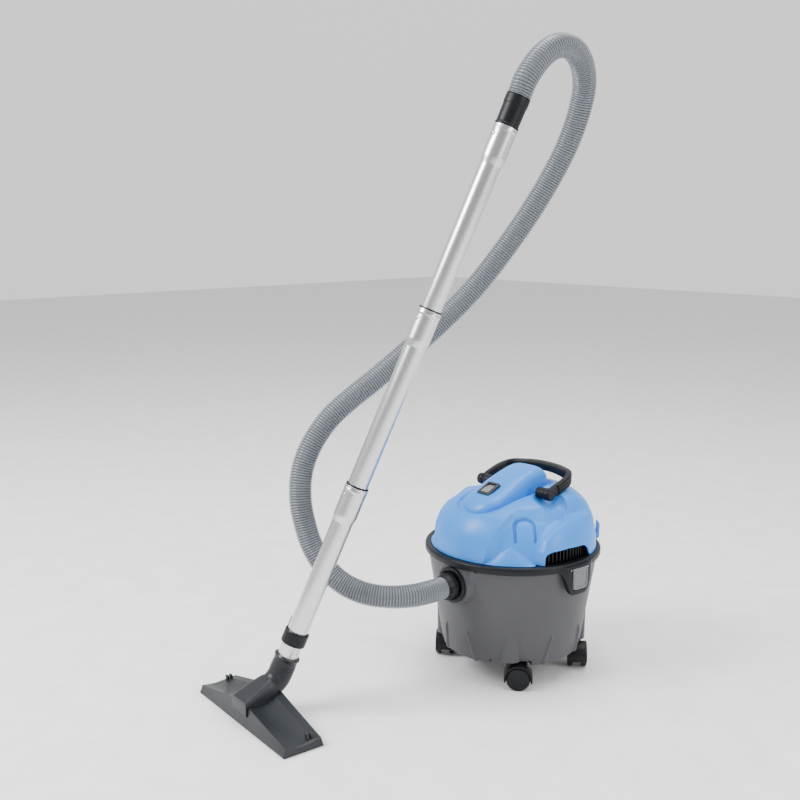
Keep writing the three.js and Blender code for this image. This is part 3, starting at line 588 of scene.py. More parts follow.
def make_hose():
    """A corrugated hose: rounded ribs with narrow valleys between them, all round its real line."""
    length = float(np.linalg.norm(np.diff(hose_line(2000), axis=0), axis=1).sum())
    ribs = round(length * 1000 / RIB_PITCH)
    per_rib = 6
    line = hose_line(ribs * per_rib + 1)
    phase = np.arange(len(line)) % per_rib / per_rib
    valley = np.clip(1 - np.abs(phase - 0.5) / 0.3, 0, 1)
    radius = (HOSE_RADIUS - RIB_DEPTH * smoothstep(0, 1, valley)) / 1000
    sides, above = carried_frames(line)
    angle = np.linspace(0, 2 * math.pi, 40, endpoint=False)
    across = np.cos(angle)[None, :, None] * sides[:, None] + np.sin(angle)[None, :, None] * above[:, None]
    rows = line[:, None] + radius[:, None, None] * across
    hose = loft("hose_tube", rows, HOSE_PLASTIC, sharp=80)
    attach(hose, "hose_set")
    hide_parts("hose")
    return hose, line, length


def make_cuff():
    """The plug at the tub end: a flared nose over the hose, a grip ring and a plain spigot."""
    outline = rounded([(16, 0), (20.8, 0), (21.4, 1.5), (23.2, 9), (24, 10.5), (24, 21), (19.6, 21.8),
                       (19.6, 48), (16, 48)], 1.0)
    cuff = lathe("hose_cuff_body", outline, BLACK, 96)
    tabs = []
    for degrees in (0, 180):
        tab = block("tab", 21, 25.6, -6, 6, 2.5, 19, BLACK, 1.2)
        tabs.append(move(tab, Matrix.Rotation(math.radians(degrees), 4, "Z")))
    join(cuff, *tabs)
    stand = Matrix.Translation((0, -186, INLET_Z)) @ Matrix.Rotation(math.radians(-90), 4, "X")
    return finish_piece(cuff, TUB @ stand, "hose_set", "black_trim", "hose_cuff")


def make_end_tube():
    """The black sleeve where the hose meets the wand: a taper, a grip band and a plug."""
    top = WAND_MOUTHS["upper"]
    outline = rounded([(14, top - 34), (17.3, top - 34), (17.3, top + 0.3), (20, top + 0.3),
                       (20, top + 3), (18.9, top + 5), (19.3, top + 34), (20, top + 37), (20, top + 50),
                       (14, top + 50)], 0.8)
    tube = lathe("hose_end_sleeve", outline, BLACK, 96)
    return finish_piece(tube, WAND, "hose_set", "black_trim", "hose_end_tube")


# ---------------------------------------------------------------- the wand
def swaged(start, mouth):
    """The outline of one wand section: a thin tube with a wider socket at its upper end."""
    r, s, wall = WAND_RADIUS, SOCKET_RADIUS, 1.2
    return [(r - wall, start), (r, start), (r, mouth - 64), (r + 0.6, mouth - 61), (s - 0.5, mouth - 55),
            (s, mouth - 51), (s, mouth - 9), (s + 0.5, mouth - 7), (s + 0.5, mouth - 5.5), (s, mouth - 4),
            (s, mouth), (s - wall, mouth), (s - wall, mouth - 50), (s - wall - 0.6, mouth - 55),
            (r - wall, mouth - 61)]


def make_wand(name):
    """One wand section and its snap button."""
    mouth = WAND_MOUTHS[name]
    outline = rounded(swaged(WAND_STARTS[name], mouth), 1.2, steps=3)
    tube = lathe(f"wand_tube_{name}", outline, ALUMINIUM, 96, sharp=50)
    hole = rod("hole", (0, 0, mouth - 17), (0, -30, mouth - 17), 3.9, ALUMINIUM, 32)
    cut(tube, hole, sharp=50)
    tube.matrix_world = WAND @ Matrix.Scale(1000, 4)
    move(tube, MM)
    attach(tube, "hose_set")
    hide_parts(f"wand_{name}")
    outline = rounded([(0, 0, 0), (3.3, 0), (3.3, 7.6, 1.6), (0, 8.3, 0)], 0.4, False)
    button = lathe(f"snap_pin_{name}", outline, STEEL, 40, closed=False)
    stand = Matrix.Translation((0, -13.3, mouth - 17)) @ Matrix.Rotation(math.radians(90), 4, "X")
    finish_piece(button, WAND @ stand, f"button_{name}", "pin_steel", f"snap_button_{name}")


def make_wand_seals():
    """A thin black ring in each socket that takes another section."""
    for name in ("lower", "middle"):
        mouth = WAND_MOUTHS[name]
        inner, outer = WAND_RADIUS + 0.15, SOCKET_RADIUS - 0.2
        outline = rounded([(inner, mouth + 0.1), (outer, mouth + 0.1), (outer, mouth + 2.4),
                           (inner, mouth + 2.4)], 0.4)
        finish_piece(lathe(f"mouth_ring_{name}", outline, BLACK, 96), WAND, "hose_set", "black_trim")


def make_clip_collar():
    """The black spring clip that parks the wand: a ring with a raised lug on its left."""
    outline = rounded([(17.8, 24), (20.6, 24), (21.2, 25.5), (21.2, 45.5), (20.6, 47), (17.8, 47)], 0.5)
    ring = lathe("clip_ring", outline, BLACK, 96)
    tongue = rounded([(-6, 26), (6, 26), (6, 60), (3.4, 66), (-3.4, 66), (-6, 60)], 2)
    lug = prism("lug", tongue, 3.4, BLACK, 0.9)
    move(lug, Matrix.Translation((-23.4, 0, 0)) @ SIDEWAYS)
    join(ring, lug)
    return finish_piece(ring, WAND, "hose_set", "black_trim", "clip_collar")


# ---------------------------------------------------------------- the motor head's cover
class Profile:
    """A line of (radius, height) from the rim to the top, evenly spaced."""

    def __init__(self, points, count):
        self.line = smooth_line(points, count)
        steps = np.linalg.norm(np.diff(self.line, axis=0), axis=1)
        self.along = np.concatenate([[0], np.cumsum(steps)])

    def run(self, height):
        """The length along the line up to a height."""
        return np.interp(height, self.line[:, 1], self.along)


ROWS = 190
FRONT = Profile(DOME_FRONT, ROWS)
REAR = Profile(DOME_REAR, ROWS)
UNROLL = 2.44


def dome_base(bearing, t):
    """The plain dome's radius and height at t of the way up, and the way out from it."""
    weight = smoothstep(8, 36, bearing)
    places = np.linspace(0, 1, ROWS)
    result = []
    for k in (0, 1):
        front = np.interp(t, places, FRONT.line[:, k])
        rear = np.interp(t, places, REAR.line[:, k])
        result.append(front + (rear - front) * weight)
    return result


def panel_depth(bearing, height):
    """How deep the hollowed side panel is, with its lower facet and the swell behind it."""
    run = FRONT.run(height)
    crease = [(a * UNROLL, FRONT.run(z)) for a, z in PANEL_CREASE]
    fender = [(a * UNROLL, FRONT.run(z)) for a, z in FENDER_EDGE]
    crease[0] = (crease[0][0], -9)
    fender[-1] = (fender[-1][0], -9)
    top = [(-22 * UNROLL, FRONT.run(328)), (20 * UNROLL, FRONT.run(329)), (70 * UNROLL, FRONT.run(322))]
    x = bearing * UNROLL
    within = inside(x, run, crease + top + fender)
    to_crease, to_fender = line_distance(x, run, crease), line_distance(x, run, fender)
    depth = PANEL_DEPTH * np.minimum(swell(to_crease, 18), swell(to_fender, 17)) * within
    depth *= 1 - smoothstep(FRONT.run(309), FRONT.run(326), run)
    depth *= 1 - smoothstep(10, 46, bearing)
    facet_top = np.interp(bearing, [a for a, _ in FACET], [z for _, z in FACET], left=0, right=0)
    on_facet = (facet_top > 234) & (height < facet_top)
    slope = PANEL_DEPTH * (height - 233) / np.maximum(facet_top - 233, 1)
    depth = np.where(on_facet, np.minimum(depth, slope), depth)
    fender_top = np.interp(bearing, [-28.3, -27.7, -24, -16, 0, 22, 60],
                           [233, 255, 275, 291, 300.6, 300.7, 292])
    behind = ~within & (bearing > -28.6) & (run < FRONT.run(fender_top))
    swelling = 3.2 * swell(to_fender, 18) * (1 - smoothstep(25, 62, bearing)) * behind
    return depth - swelling


def groove_depth(bearing, radius, height):
    """The U-shaped groove pressed into the panel."""
    u = (bearing + 39) * math.pi / 180 * np.maximum(radius, 60)
    v = FRONT.run(height) - FRONT.run(275.7)
    sideways = np.abs(np.abs(u) - GROOVE_HALF)
    bow = np.abs(np.hypot(u, v - GROOVE_LEG) - GROOVE_HALF)
    distance = np.where(v < 0, np.hypot(sideways, v), np.where(v < GROOVE_LEG, sideways, bow))
    return GROOVE_DEPTH * (1 - smoothstep(2.0, 4.2, distance))


def moat_depth(x, y):
    """The seat round the raised tongue."""
    outline = MOAT + [(-a, b) for a, b in MOAT[::-1]]
    distance = line_distance(x, y, outline + outline[:1])
    return 8 * swell(distance, 10) * inside(x, y, outline)


def scoop_depth(x, y):
    """The bowl round each handle pivot."""
    rho = np.hypot((np.abs(x) - 86) / 33, (y - 2) / 31)
    return 14 * np.clip(1 - rho ** 2, 0, 1) ** 0.7


def dome_point(azimuth, t):
    """Points of the sculpted cover for azimuths in degrees and shares of the way up."""
    cos, sin = np.cos(np.radians(azimuth)), np.sin(np.radians(azimuth))
    bearing = np.degrees(np.arctan2(sin, np.abs(cos)))
    radius, height = dome_base(bearing, t)
    ahead_r, ahead_z = dome_base(bearing, np.minimum(t + 0.01, 1))
    back_r, back_z = dome_base(bearing, np.maximum(t - 0.01, 0))
    out_r, out_z = ahead_z - back_z, back_r - ahead_r
    size = np.maximum(np.hypot(out_r, out_z), 1e-9)
    depth = panel_depth(bearing, height) + groove_depth(bearing, radius, height)
    radius = radius - depth * out_r / size
    height = height - depth * out_z / size
    x, y = radius * cos, radius * sin
    height = height - moat_depth(x, y) - scoop_depth(x, y)
    return np.stack([x, y, np.maximum(height, 233.4)], axis=-1)


def dome_height(x, y):
    """The sculpted cover's height at a place in plan."""
    bearing = np.degrees(np.arctan2(y, np.abs(x)))
    weight = smoothstep(8, 36, bearing)
    r = np.hypot(x, y)
    front = np.interp(-r, -FRONT.line[:, 0], FRONT.line[:, 1])
    rear = np.interp(-r, -REAR.line[:, 0], REAR.line[:, 1])
    return front + (rear - front) * weight - moat_depth(x, y)


def dome_azimuths():
    """Columns, closer together over the sculpted sides."""
    right = np.concatenate([np.arange(-84, 34, 0.4), np.arange(34, 90, 1.2)])
    left = 180 - right[::-1]
    ahead = np.arange(left[-1] + 0.8, 276 - 0.4, 0.8)
    return np.concatenate([right, left[left > right[-1] + 0.6], ahead])


def make_dome():
    """The blue cover: a sculpted shell with a notch over each vent."""
    azimuths = dome_azimuths()
    shares = np.linspace(0, 1, ROWS) ** 0.96
    azimuth, share = np.meshgrid(azimuths, shares)
    bearing = np.degrees(np.arctan2(np.sin(np.radians(azimuth)), np.abs(np.cos(np.radians(azimuth)))))
    _, height = dome_base(bearing, share)
    in_notch = inside(bearing, height, NOTCH)
    faces = grid_faces(ROWS, len(azimuths), True)
    gone = in_notch.reshape(-1)[faces].any(axis=1)
    edge = np.zeros(azimuth.size, bool)
    edge[np.unique(faces[gone])] = True
    kept = np.zeros(azimuth.size, bool)
    kept[np.unique(faces[~gone])] = True
    rim = (edge & kept).reshape(azimuth.shape)
    snap_to_notch(azimuth, share, bearing, height, rim)
    points = dome_point(azimuth, share).reshape(-1, 3)
    cover = add_object("motor_cover_shell", points, faces[~gone], BLUE, sharp=60)
    thicken(cover, DOME_WALL)
    shade(cover, 40)
    return finish_piece(cover, TUB, "head", "blue_shell", "motor_cover")


def snap_to_notch(azimuth, share, bearing, height, rim):
    """Pulls the grid points beside the notch on to its outline."""
    places = np.linspace(0, 1, ROWS)
    for i, j in zip(*np.nonzero(rim)):
        px, py = bearing[i, j] * UNROLL, height[i, j]
        best = None
        for (x0, y0), (x1, y1) in zip(NOTCH[:-1], NOTCH[1:]):
            dx, dy = (x1 - x0) * UNROLL, y1 - y0
            t = min(1, max(0, ((px - x0 * UNROLL) * dx + (py - y0) * dy) / (dx * dx + dy * dy)))
            qx, qy = x0 * UNROLL + t * dx, y0 + t * dy
            distance = math.hypot(px - qx, py - qy)
            if best is None or distance < best[0]:
                best = (distance, qx / UNROLL, qy)
        _, new_bearing, new_height = best
        mirrored = math.cos(math.radians(azimuth[i, j])) < 0
        azimuth[i, j] = 180 - new_bearing if mirrored else new_bearing
        share[i, j] = np.interp(max(new_height, 233.4), FRONT.line[:, 1], places)


def thicken(obj, thickness):
    """Gives an open skin its wall, inwards."""
    modifier = obj.modifiers.new("wall", "SOLIDIFY")
    modifier.thickness = thickness
    modifier.offset = -1
    modifier.use_even_offset = False
    modifier.use_quality_normals = True
    bake(obj)


def tongue_outline(count):
    """The tongue's plan: a round nose, straight flanks and a squarer tail, and the ridge point for each."""
    rim, ridge = [], []
    for angle in np.linspace(-90, 90, count):
        a = math.radians(angle)
        if angle < 0:
            rim.append((TONGUE_HALF * math.cos(a), TONGUE_NOSE + TONGUE_HALF * math.sin(a)))
            ridge.append((0, TONGUE_NOSE))
        else:
            power = 0.62
            rim.append((TONGUE_HALF * math.cos(a) ** power, TONGUE_TAIL + 30 * math.sin(a) ** power))
            ridge.append((0, TONGUE_TAIL))
    straight = np.linspace(TONGUE_NOSE, TONGUE_TAIL, 60)[1:-1]
    half = count // 2
    rim = rim[:half] + [(TONGUE_HALF, y) for y in straight] + rim[half:]
    ridge = ridge[:half] + [(0, y) for y in straight] + ridge[half:]
    rim += [(-x, y) for x, y in rim[-2:0:-1]]
    ridge += [(-x, y) for x, y in ridge[-2:0:-1]]
    return np.array(rim, float), np.array(ridge, float)


def tongue_height(x, y, share):
    """The crown of the tongue, rolling over its shoulders to the cover below."""
    crest_line = smooth_line(TONGUE_CREST, 300)
    crest = np.interp(y, crest_line[:, 0], crest_line[:, 1])
    foot = dome_height(x, y) - 2.0
    crest = np.maximum(crest, foot + 1)
    power = 4.6
    shoulder = (1 - np.clip(share, 0, 1) ** power) ** (1 / power)
    crown = crest - 2.5 * share ** 2
    return foot + (crown - foot) * shoulder


def make_tongue():
    """The raised tongue that carries the switch."""
    rim, ridge = tongue_outline(72)
    shares = np.sin(np.linspace(0, math.pi / 2, 46))
    shares[0] = 0.0
    rows = []
    for share in shares[::-1]:
        plan = ridge + (rim - ridge) * share
        rows.append(np.column_stack([plan, tongue_height(plan[:, 0], plan[:, 1], share)]))
    rows = np.array(rows)
    faces = grid_faces(len(rows), rows.shape[1], True)
    tongue = add_object("top_cover_shell", rows.reshape(-1, 3), faces, BLUE, sharp=50)
    thicken(tongue, DOME_WALL)
    shade(tongue, 45)
    room = block("room", -13.4, 13.4, -17.4, 17.4, -20, 12, BLUE, 0)
    cut(tongue, move(room, switch_frame()), sharp=45)
    return finish_piece(tongue, TUB, "head", "blue_shell", "top_cover")


def switch_frame():
    """The switch's frame on the sloping top cover."""
    return Matrix.Translation((0, -66, 342)) @ Matrix.Rotation(math.radians(23.5), 4, "X")


def make_switch():
    """A black frame with a grey rocker, tipped to off, with a moulded ridge across it."""
    frame_outline = rounded([(-14, -18), (14, -18), (14, 18), (-14, 18)], 3)
    bezel = prism("switch_frame", frame_outline, 12, GLOSS_BLACK, 1.0)
    move(bezel, Matrix.Translation((0, 0, -7)))
    well = prism("well", rounded([(-9.2, -13.2), (9.2, -13.2), (9.2, 13.2), (-9.2, 13.2)], 1.2), 14,
                 GLOSS_BLACK, 0)
    cut(bezel, move(well, Matrix.Translation((0, 0, -5.5))))
    finish_piece(bezel, TUB @ switch_frame(), "head", "switch_black", "switch_bezel")
    side = rounded([(-12.7, -2), (12.7, -2), (12.7, 3.6), (0, 4.6, 8), (-12.7, 3.6)], 1.2)
    rocker = prism("rocker_key", side, 17.4, ROCKER_GREY, 0.8)
    move(rocker, Matrix.Translation((-8.7, 0, 0)) @ SIDEWAYS)
    mark = block("mark", -4.5, 4.5, 6.5, 8.0, 3.0, 4.6, ROCKER_GREY, 0.3)
    join(rocker, mark)
    tilt = Matrix.Rotation(math.radians(-7), 4, "X")
    finish_piece(rocker, TUB @ switch_frame() @ tilt, "rocker", "rocker_grey", "power_rocker")


def make_grille(side):
    """A curved black comb of fins behind the notch."""
    start, end, slots = -26.4, 16.5, 14
    outer, inner, deep = 145.0, 136, 138.5
    outline = []
    for i in range(slots):
        first = start + (end - start) * i / slots
        width = (end - start) / slots
        for share, radius in ((0, outer), (0.28, outer), (0.28, deep), (0.999, deep)):
            outline.append((first + width * share, radius))
    outline.append((end, outer))
    outline.append((end + 0.6, outer))
    back = [(a, inner) for a in np.linspace(end + 0.6, start, 24)]
    plan = [(r * math.cos(math.radians(a)), r * math.sin(math.radians(a))) for a, r in outline + back]
    if side < 0:
        plan = [(-x, y) for x, y in plan[::-1]]
    comb = prism("vent_comb", plan, 24, BLACK, 0)
    name = hand_name(side)
    comb.name = f"vent_fins_{name}"
    move(comb, Matrix.Translation((0, 0, 234.2)))
    return finish_piece(comb, TUB, "head", "black_trim", f"vent_grille_{name}")


def make_hook():
    """The blue cable hook at the rear right: a stem and an upturned lip."""
    side = rounded([(147, 240), (157, 239), (160.3, 243), (160.3, 268), (158, 271.5), (155.8, 270),
                    (155.4, 252), (147, 250)], 1.6)
    hook = prism("cable_hook_lip", side, 18, BLUE, 0.9)
    turn = Matrix(((1, 0, 0, 0), (0, 0, 1, -9), (0, 1, 0, 0), (0, 0, 0, 1)))
    move(hook, Matrix.Rotation(math.radians(47.5), 4, "Z") @ turn)
    return finish_piece(hook, TUB, "head", "blue_shell", "cable_hook")


def make_gland():
    """A ribbed rubber strain relief."""
    outline = [(4, -1)]
    outline += [(10.5, -1), (10.5, 1.2)]
    for k in range(3):
        outline += [(7.7, 1.6 + 2 * k), (7.7, 2.4 + 2 * k), (8.6, 2.8 + 2 * k), (8.6, 3.3 + 2 * k)]
    outline += [(7.2, 7.4), (4, 7.4)]
    gland = lathe("cable_relief", rounded(outline, 0.35), RUBBER, 64)
    stand = Matrix.Translation((0, 147.3, 250)) @ Matrix.Rotation(math.radians(-90), 4, "X")
    return finish_piece(gland, TUB @ stand, "head", "seal_rubber", "cable_gland")


# ---------------------------------------------------------------- the carry handle
HANDLE_LINE = [PIVOT, (80, 25, 341), (79.5, 48, 348), (74, 68, 353.5), (60, 80, 357.5), (30, 87, 361),
               (0, 88.5, 362)]


def make_handle():
    """A bow with tall ribbed arms and a thicker grip, with round eyes on its pivots."""
    half = HANDLE_LINE
    whole = half + [(-x, y, z) for x, y, z in half[-2::-1]]
    count = 150
    line = smooth_line(whole, count)
    across = np.abs(line[:, 0])
    grip = 1 - smoothstep(46, 76, across)
    taper = smoothstep(5, 24, line[:, 1])

    def section(i):
        thick = 5.6 + 3.6 * grip[i]
        tall = (7.5 + 2.8 * taper[i]) * (1 - grip[i]) + 8.2 * grip[i]
        pairs = []
        for angle in np.linspace(0, 2 * math.pi, 72, endpoint=False):
            c, s = math.cos(angle), math.sin(angle)
            size = (abs(c) ** 4.5 + abs(s) ** 4.5) ** (-1 / 4.5)
            groove = 0.5 - 0.5 * math.cos(2 * math.pi * s * size * 2.0)
            ribs = 1.3 * groove * (1 - grip[i]) * taper[i] * (abs(c) * size > 0.9)
            pairs.append((c * size * (thick - ribs), s * size * tall))
        return pairs

    bow = loft("handle_bow", tube_points(line, section), HANDLE_BLACK, sharp=50)
    rooms = []
    eyes = []
    quarter = Matrix.Rotation(math.pi / 2, 4, "Y")
    for side in (1, -1):
        x0, x1 = sorted((side * 83.2, side * 110))
        rooms.append(pivot_rod("room", x0, x1, 24, HANDLE_BLACK))
        rooms.append(pivot_rod("room", side * 74, side * 84, 9.5, HANDLE_BLACK))
        ring = rounded([(4.3, -4.2), (11.2, -4.2), (11.2, 4.2), (4.3, 4.2)], 1.2)
        eye = lathe("eye", ring, HANDLE_BLACK, 72)
        eyes.append(move(eye, Matrix.Translation((side * PIVOT[0], *PIVOT[1:])) @ quarter))
    rooms.append(pivot_rod("room", -74.8, 74.8, 17, HANDLE_BLACK))
    cut(bow, *rooms, sharp=50)
    join(bow, *eyes, sharp=50)
    finish_piece(bow, TUB, "handle", "handle_black", "carry_handle")
    for side in (1, -1):
        name = hand_name(side)
        outline = rounded([(0, 0, 0), (10.5, 0), (10.5, 3.4, 1.4), (7.6, 5.0), (6.8, 4.3), (0, 4.3, 0)],
                          0.6, False)
        cap = lathe(f"handle_disc_{name}", outline, HANDLE_BLACK, 72, closed=False)
        turn = Matrix.Rotation(math.radians(90 * side), 4, "Y")
        stand = Matrix.Translation((side * 83.5, *PIVOT[1:])) @ turn
        finish_piece(cap, TUB @ stand, "handle", "handle_black", f"handle_cap_{name}")


def make_pivot_boss(side):
    """The stub on the cover that the handle's pin goes through."""
    x0, x1 = sorted((side * 56, side * 74.4))
    boss = pivot_rod("boss", x0, x1, 10.5, BLACK, 0.8)
    cut(boss, pivot_rod("bore", -90, 90, 4.2, BLACK))
    boss.name = f"pivot_boss_{hand_name(side)}"
    finish_piece(boss, TUB, "head", "black_trim")


def pivot_rod(name, x0, x1, radius, material, bevel=0.0):
    """A round bar along the handle's pivot axis."""
    return rod(name, (x0, *PIVOT[1:]), (x1, *PIVOT[1:]), radius, material, 64, bevel)


# ---------------------------------------------------------------- the collar and its latches
BOSS_EDGE = [(-46, 224), (-42, 220.5), (-36, 214.5), (-31, 205), (-27, 194), (-22, 183), (-15, 177.5),
             (0, 177)]


def to_latch(obj, side):
    """Turns a piece drawn on the X axis to the right or the left latch."""
    turn = math.radians(LATCH_TURN + (0 if side > 0 else 180))
    return move(obj, Matrix.Rotation(turn, 4, "Z"))


def latch_bore(material):
    """The round hole for a latch's pin."""
    x, z = LATCH_PIN
    return rod("bore", (x, -25, z), (x, 25, z), 1.8, material, 24)


def make_boss():
    """The bracket that droops from the collar, wrapped round the tub and blended into the rim."""
    left = smooth_line(BOSS_EDGE, 44)
    edge = np.vstack([left, [(-y, z) for y, z in left[-2::-1]]])
    rows = []
    for y, low_z in edge:
        out = 168.6 - 6.2 * smoothstep(27, 45, abs(y))
        section = rounded([(157.8, 230), (157.8, low_z, 0.5), (out, low_z, 2.6), (out, 230)], 0.8)
        angle = y / 164
        rows.append([(r * math.cos(angle), r * math.sin(angle), z) for r, z in section])
    return loft("boss", np.array(rows), BLACK, 40)


def make_collar():
    """The black rim band with a bracket and a pocket for each latch."""
    outline = rounded([(157.5, 228.5), (157.1, 219.5), (160.6, 219.5), (162, 221.5), (162, 229.8, 2.5),
                       (159.4, 233, 2.5), (151.5, 233), (151.5, 228.9), (157.5, 228.9, 0)], 0.7)
    collar = lathe("rim_band", outline, BLACK, 200)
    join(collar, to_latch(make_boss(), 1), to_latch(make_boss(), -1), sharp=38)
    tools = []
    for side in (1, -1):
        pocket = prism("pocket", rounded([(-18.4, 228, 0.5), (-18.4, 185.4, 7), (18.4, 185.4, 7),
                                          (18.4, 228, 0.5)], 1), 30, BLACK, 0)
        move(pocket, Matrix.Translation((161.5, 0, 0)) @ SIDEWAYS)
        room = block("room", 140, 161.9, -11, 11, 170, 200, BLACK, 0)
        tools += [to_latch(tool, side) for tool in (pocket, room, latch_bore(BLACK))]
    cut(collar, *tools, sharp=38)
    return finish_piece(collar, TUB, "head", "black_trim", "rim_collar")


def make_latch(side):
    """A light grey clip: a crowned plate with rounded lower corners and a toe that hooks the tub."""
    front = rounded([(-18, 226, 1.2), (-17.6, 187, 8), (17.6, 187, 8), (18, 226, 1.2)], 2, steps=6)
    plate = prism("plate", front, 6.6, LATCH_GREY, 1.7, 4)
    move(plate, Matrix.Translation((163.4, 0, 0)) @ SIDEWAYS)
    dish = prism("dish", rounded([(-14.6, 219), (-14.4, 191.5), (14.4, 191.5), (14.6, 219)], 5, steps=6),
                 4, LATCH_GREY, 0)
    move(dish, Matrix.Translation((169.3, 0, 0)) @ SIDEWAYS)
    toe = block("toe", 157.2, 164.2, -9.4, 9.4, 187.4, 191.4, LATCH_GREY, 0.6)
    join(plate, toe)
    cut(plate, dish, latch_bore(LATCH_GREY))
    name = hand_name(side)
    plate.name = f"latch_clip_{name}"
    return finish_piece(to_latch(plate, side), TUB, f"latch_{name}", "latch_grey", f"latch_{name}")


# ---------------------------------------------------------------- the tub
TUB_RIBS = [(-107, -112), (-84, -78), (-16, -21), (15, 18), (73, 68), (107, 112), (163, 158), (197, 202)]
INLET_SHIELD = [(-73, 240), (-72.5, 212), (-75, 190), (-79, 166), (-86, 147), (-94, 141), (-103, 147),
                (-111, 166), (-116, 190), (-118, 212), (-118, 240)]


def cone_radius(z):
    """The plain tub wall's radius at a height."""
    return TUB_FLOOR[0] + (TUB_TOP[0] - TUB_FLOOR[0]) * (z - 46) / (TUB_TOP[1] - 46)


def turn_distance(azimuth, centre):
    """The signed angle from a centre, between -180 and 180."""
    return (azimuth - centre + 180) % 360 - 180


def tub_relief(azimuth, z):
    """How far the tub's wall stands out: its ribs, the bulges over the casters and the inlet shield."""
    radius = cone_radius(z)
    relief = np.zeros_like(azimuth)
    for top, bottom in TUB_RIBS:
        share = np.clip((102 - z) / 56, 0, 1)
        centre = top + (bottom - top) * share
        across = np.radians(turn_distance(azimuth, centre)) * radius
        width = 2.2 + 4.0 * share
        rib = np.clip(1 - np.abs(across) / width, 0, 1)
        relief = np.maximum(relief, 3.2 * smoothstep(0, 0.25, share) * smoothstep(0, 0.8, rib) * (z < 102))
    for degrees in CASTER_DEGREES.values():
        share = np.clip((z - 50) / 66, 0, 1)
        half = 16.5 - 13.5 * share ** 1.5
        across = np.radians(turn_distance(azimuth, degrees)) * radius
        peak = (9.5 * (1 - share) ** 1.1) * (z < 116)
        hump = np.clip(1 - (across / half) ** 2, 0, 1) ** 0.5 * peak
        relief = np.maximum(relief, hump)
    x = turn_distance(azimuth, 0) * TUB_UNROLL
    shield = [(a * TUB_UNROLL, b) for a, b in INLET_SHIELD]
    lift = swell(line_distance(x, z, shield[1:-1]), 7) * inside(x, z, shield)
    return np.maximum(relief, 3.6 * lift)


def make_tub():
    """The tub: a tapered shell with a rim ledge, caster wells, bulges, ribs and the inlet boss."""
    floor = [(r, 41.0) for r in (0, 45, 80, *np.arange(84, 123, 2.0))]
    skirt = [(123, 41), (124.8, 41.5), (126.6, 43), (127.6, 44.6)]
    wall = [(cone_radius(z), z) for z in np.arange(46, 227.5, 1.5)]
    rim = [(157.2, 228.2), (156.8, 228.6), (154.6, 228.6), (154.2, 228.2)]
    ledge = [(153.7, 224.6), (139.4, 224.4), (139, 224.0), (139, 222.6), (140.5, 221.4), (152.2, 207)]
    inner = [(152.2 - 27.2 * k / 24, 207 - 159 * k / 24) for k in range(1, 25)]
    inner_floor = [(122.5, 45.6), *[(r, 45.0) for r in (*np.arange(120, 84, -2.5), 80, 40, 0)]]
    profile = np.array(floor + skirt + wall + rim + ledge + inner + inner_floor, float)
    sides = 600
    azimuths = np.arange(sides) * 360 / sides - 180
    azimuth, radius = np.meshgrid(azimuths, profile[:, 0])
    _, z = np.meshgrid(azimuths, profile[:, 1])
    outer = np.zeros(len(profile), bool)
    outer[len(floor):len(floor) + len(skirt) + len(wall)] = True
    radius = radius + tub_relief(azimuth, z) * outer[:, None] * (1 - smoothstep(222, 228, z))
    x, y = radius * np.cos(np.radians(azimuth)), radius * np.sin(np.radians(azimuth))
    from_inlet = np.hypot(x, z - INLET_Z)
    pad = outer[:, None] & (y < 0) & (from_inlet < 40)
    y = np.where(pad, y + (-157.9 - y) * (1 - smoothstep(36, 40, from_inlet)), y)
    inner_rows = np.arange(len(profile)) >= len(profile) - len(inner_floor) - 1
    for degrees in CASTER_DEGREES.values():
        bearing = math.radians(degrees)
        away = np.hypot(x - CASTER_PIVOT * math.cos(bearing), y - CASTER_PIVOT * math.sin(bearing))
        below = (away < WELL_RADIUS) & (z < WELL_TOP) & ~inner_rows[:, None]
        z = np.where(below, WELL_TOP, z)
        above = (away < WELL_RADIUS + 3) & inner_rows[:, None]
        z = np.where(above, np.maximum(z, WELL_TOP + 3), z)
    points = np.stack([x, y, z], axis=-1).reshape(-1, 3)
    tub = add_object("tub_shell", points, grid_faces(len(profile), sides, True), TUB_GREY, 42)
    lugs = []
    for side in (1, -1):
        lugs.append(to_latch(block("lug", 150, 160.6, -10, 10, 192, 199, TUB_GREY, 0.8), side))
    join(tub, *lugs, sharp=42)
    cut(tub, rod("hole", (0, -175, INLET_Z), (0, -120, INLET_Z), 24.1, TUB_GREY, 96), sharp=42)
    return finish_piece(tub, TUB, "tub", "tub_shell", "tub")


def make_inlet():
    """The black socket ring: a broad outer lip, a step down and a sleeve through the wall."""
    outline = rounded([(20.4, 3.4), (24.4, 3.4), (26, 0), (30.4, 0), (32, 2), (32, 5.8), (23.5, 5.8),
                       (23.5, 25), (20.4, 25)], 0.8)
    ring = lathe("inlet_ring", outline, BLACK, 112)
    notches = []
    for degrees in (0, 180):
        notch = block("notch", 19, 26.8, -6.8, 6.8, -2, 2.6, BLACK, 0)
        notches.append(move(notch, Matrix.Rotation(math.radians(degrees), 4, "Z")))
    cut(ring, *notches)
    stand = Matrix.Translation((0, -164, INLET_Z)) @ Matrix.Rotation(math.radians(-90), 4, "X")
    return finish_piece(ring, TUB @ stand, "tub", "black_trim", "inlet_flange")


# ---------------------------------------------------------------- the casters
def arc(radius, first, last, count, centre=(0, 0)):
    """Points round part of a circle, in degrees."""
    angles = np.radians(np.linspace(first, last, count))
    return [(centre[0] + radius * math.cos(a), centre[1] + radius * math.sin(a)) for a in angles]


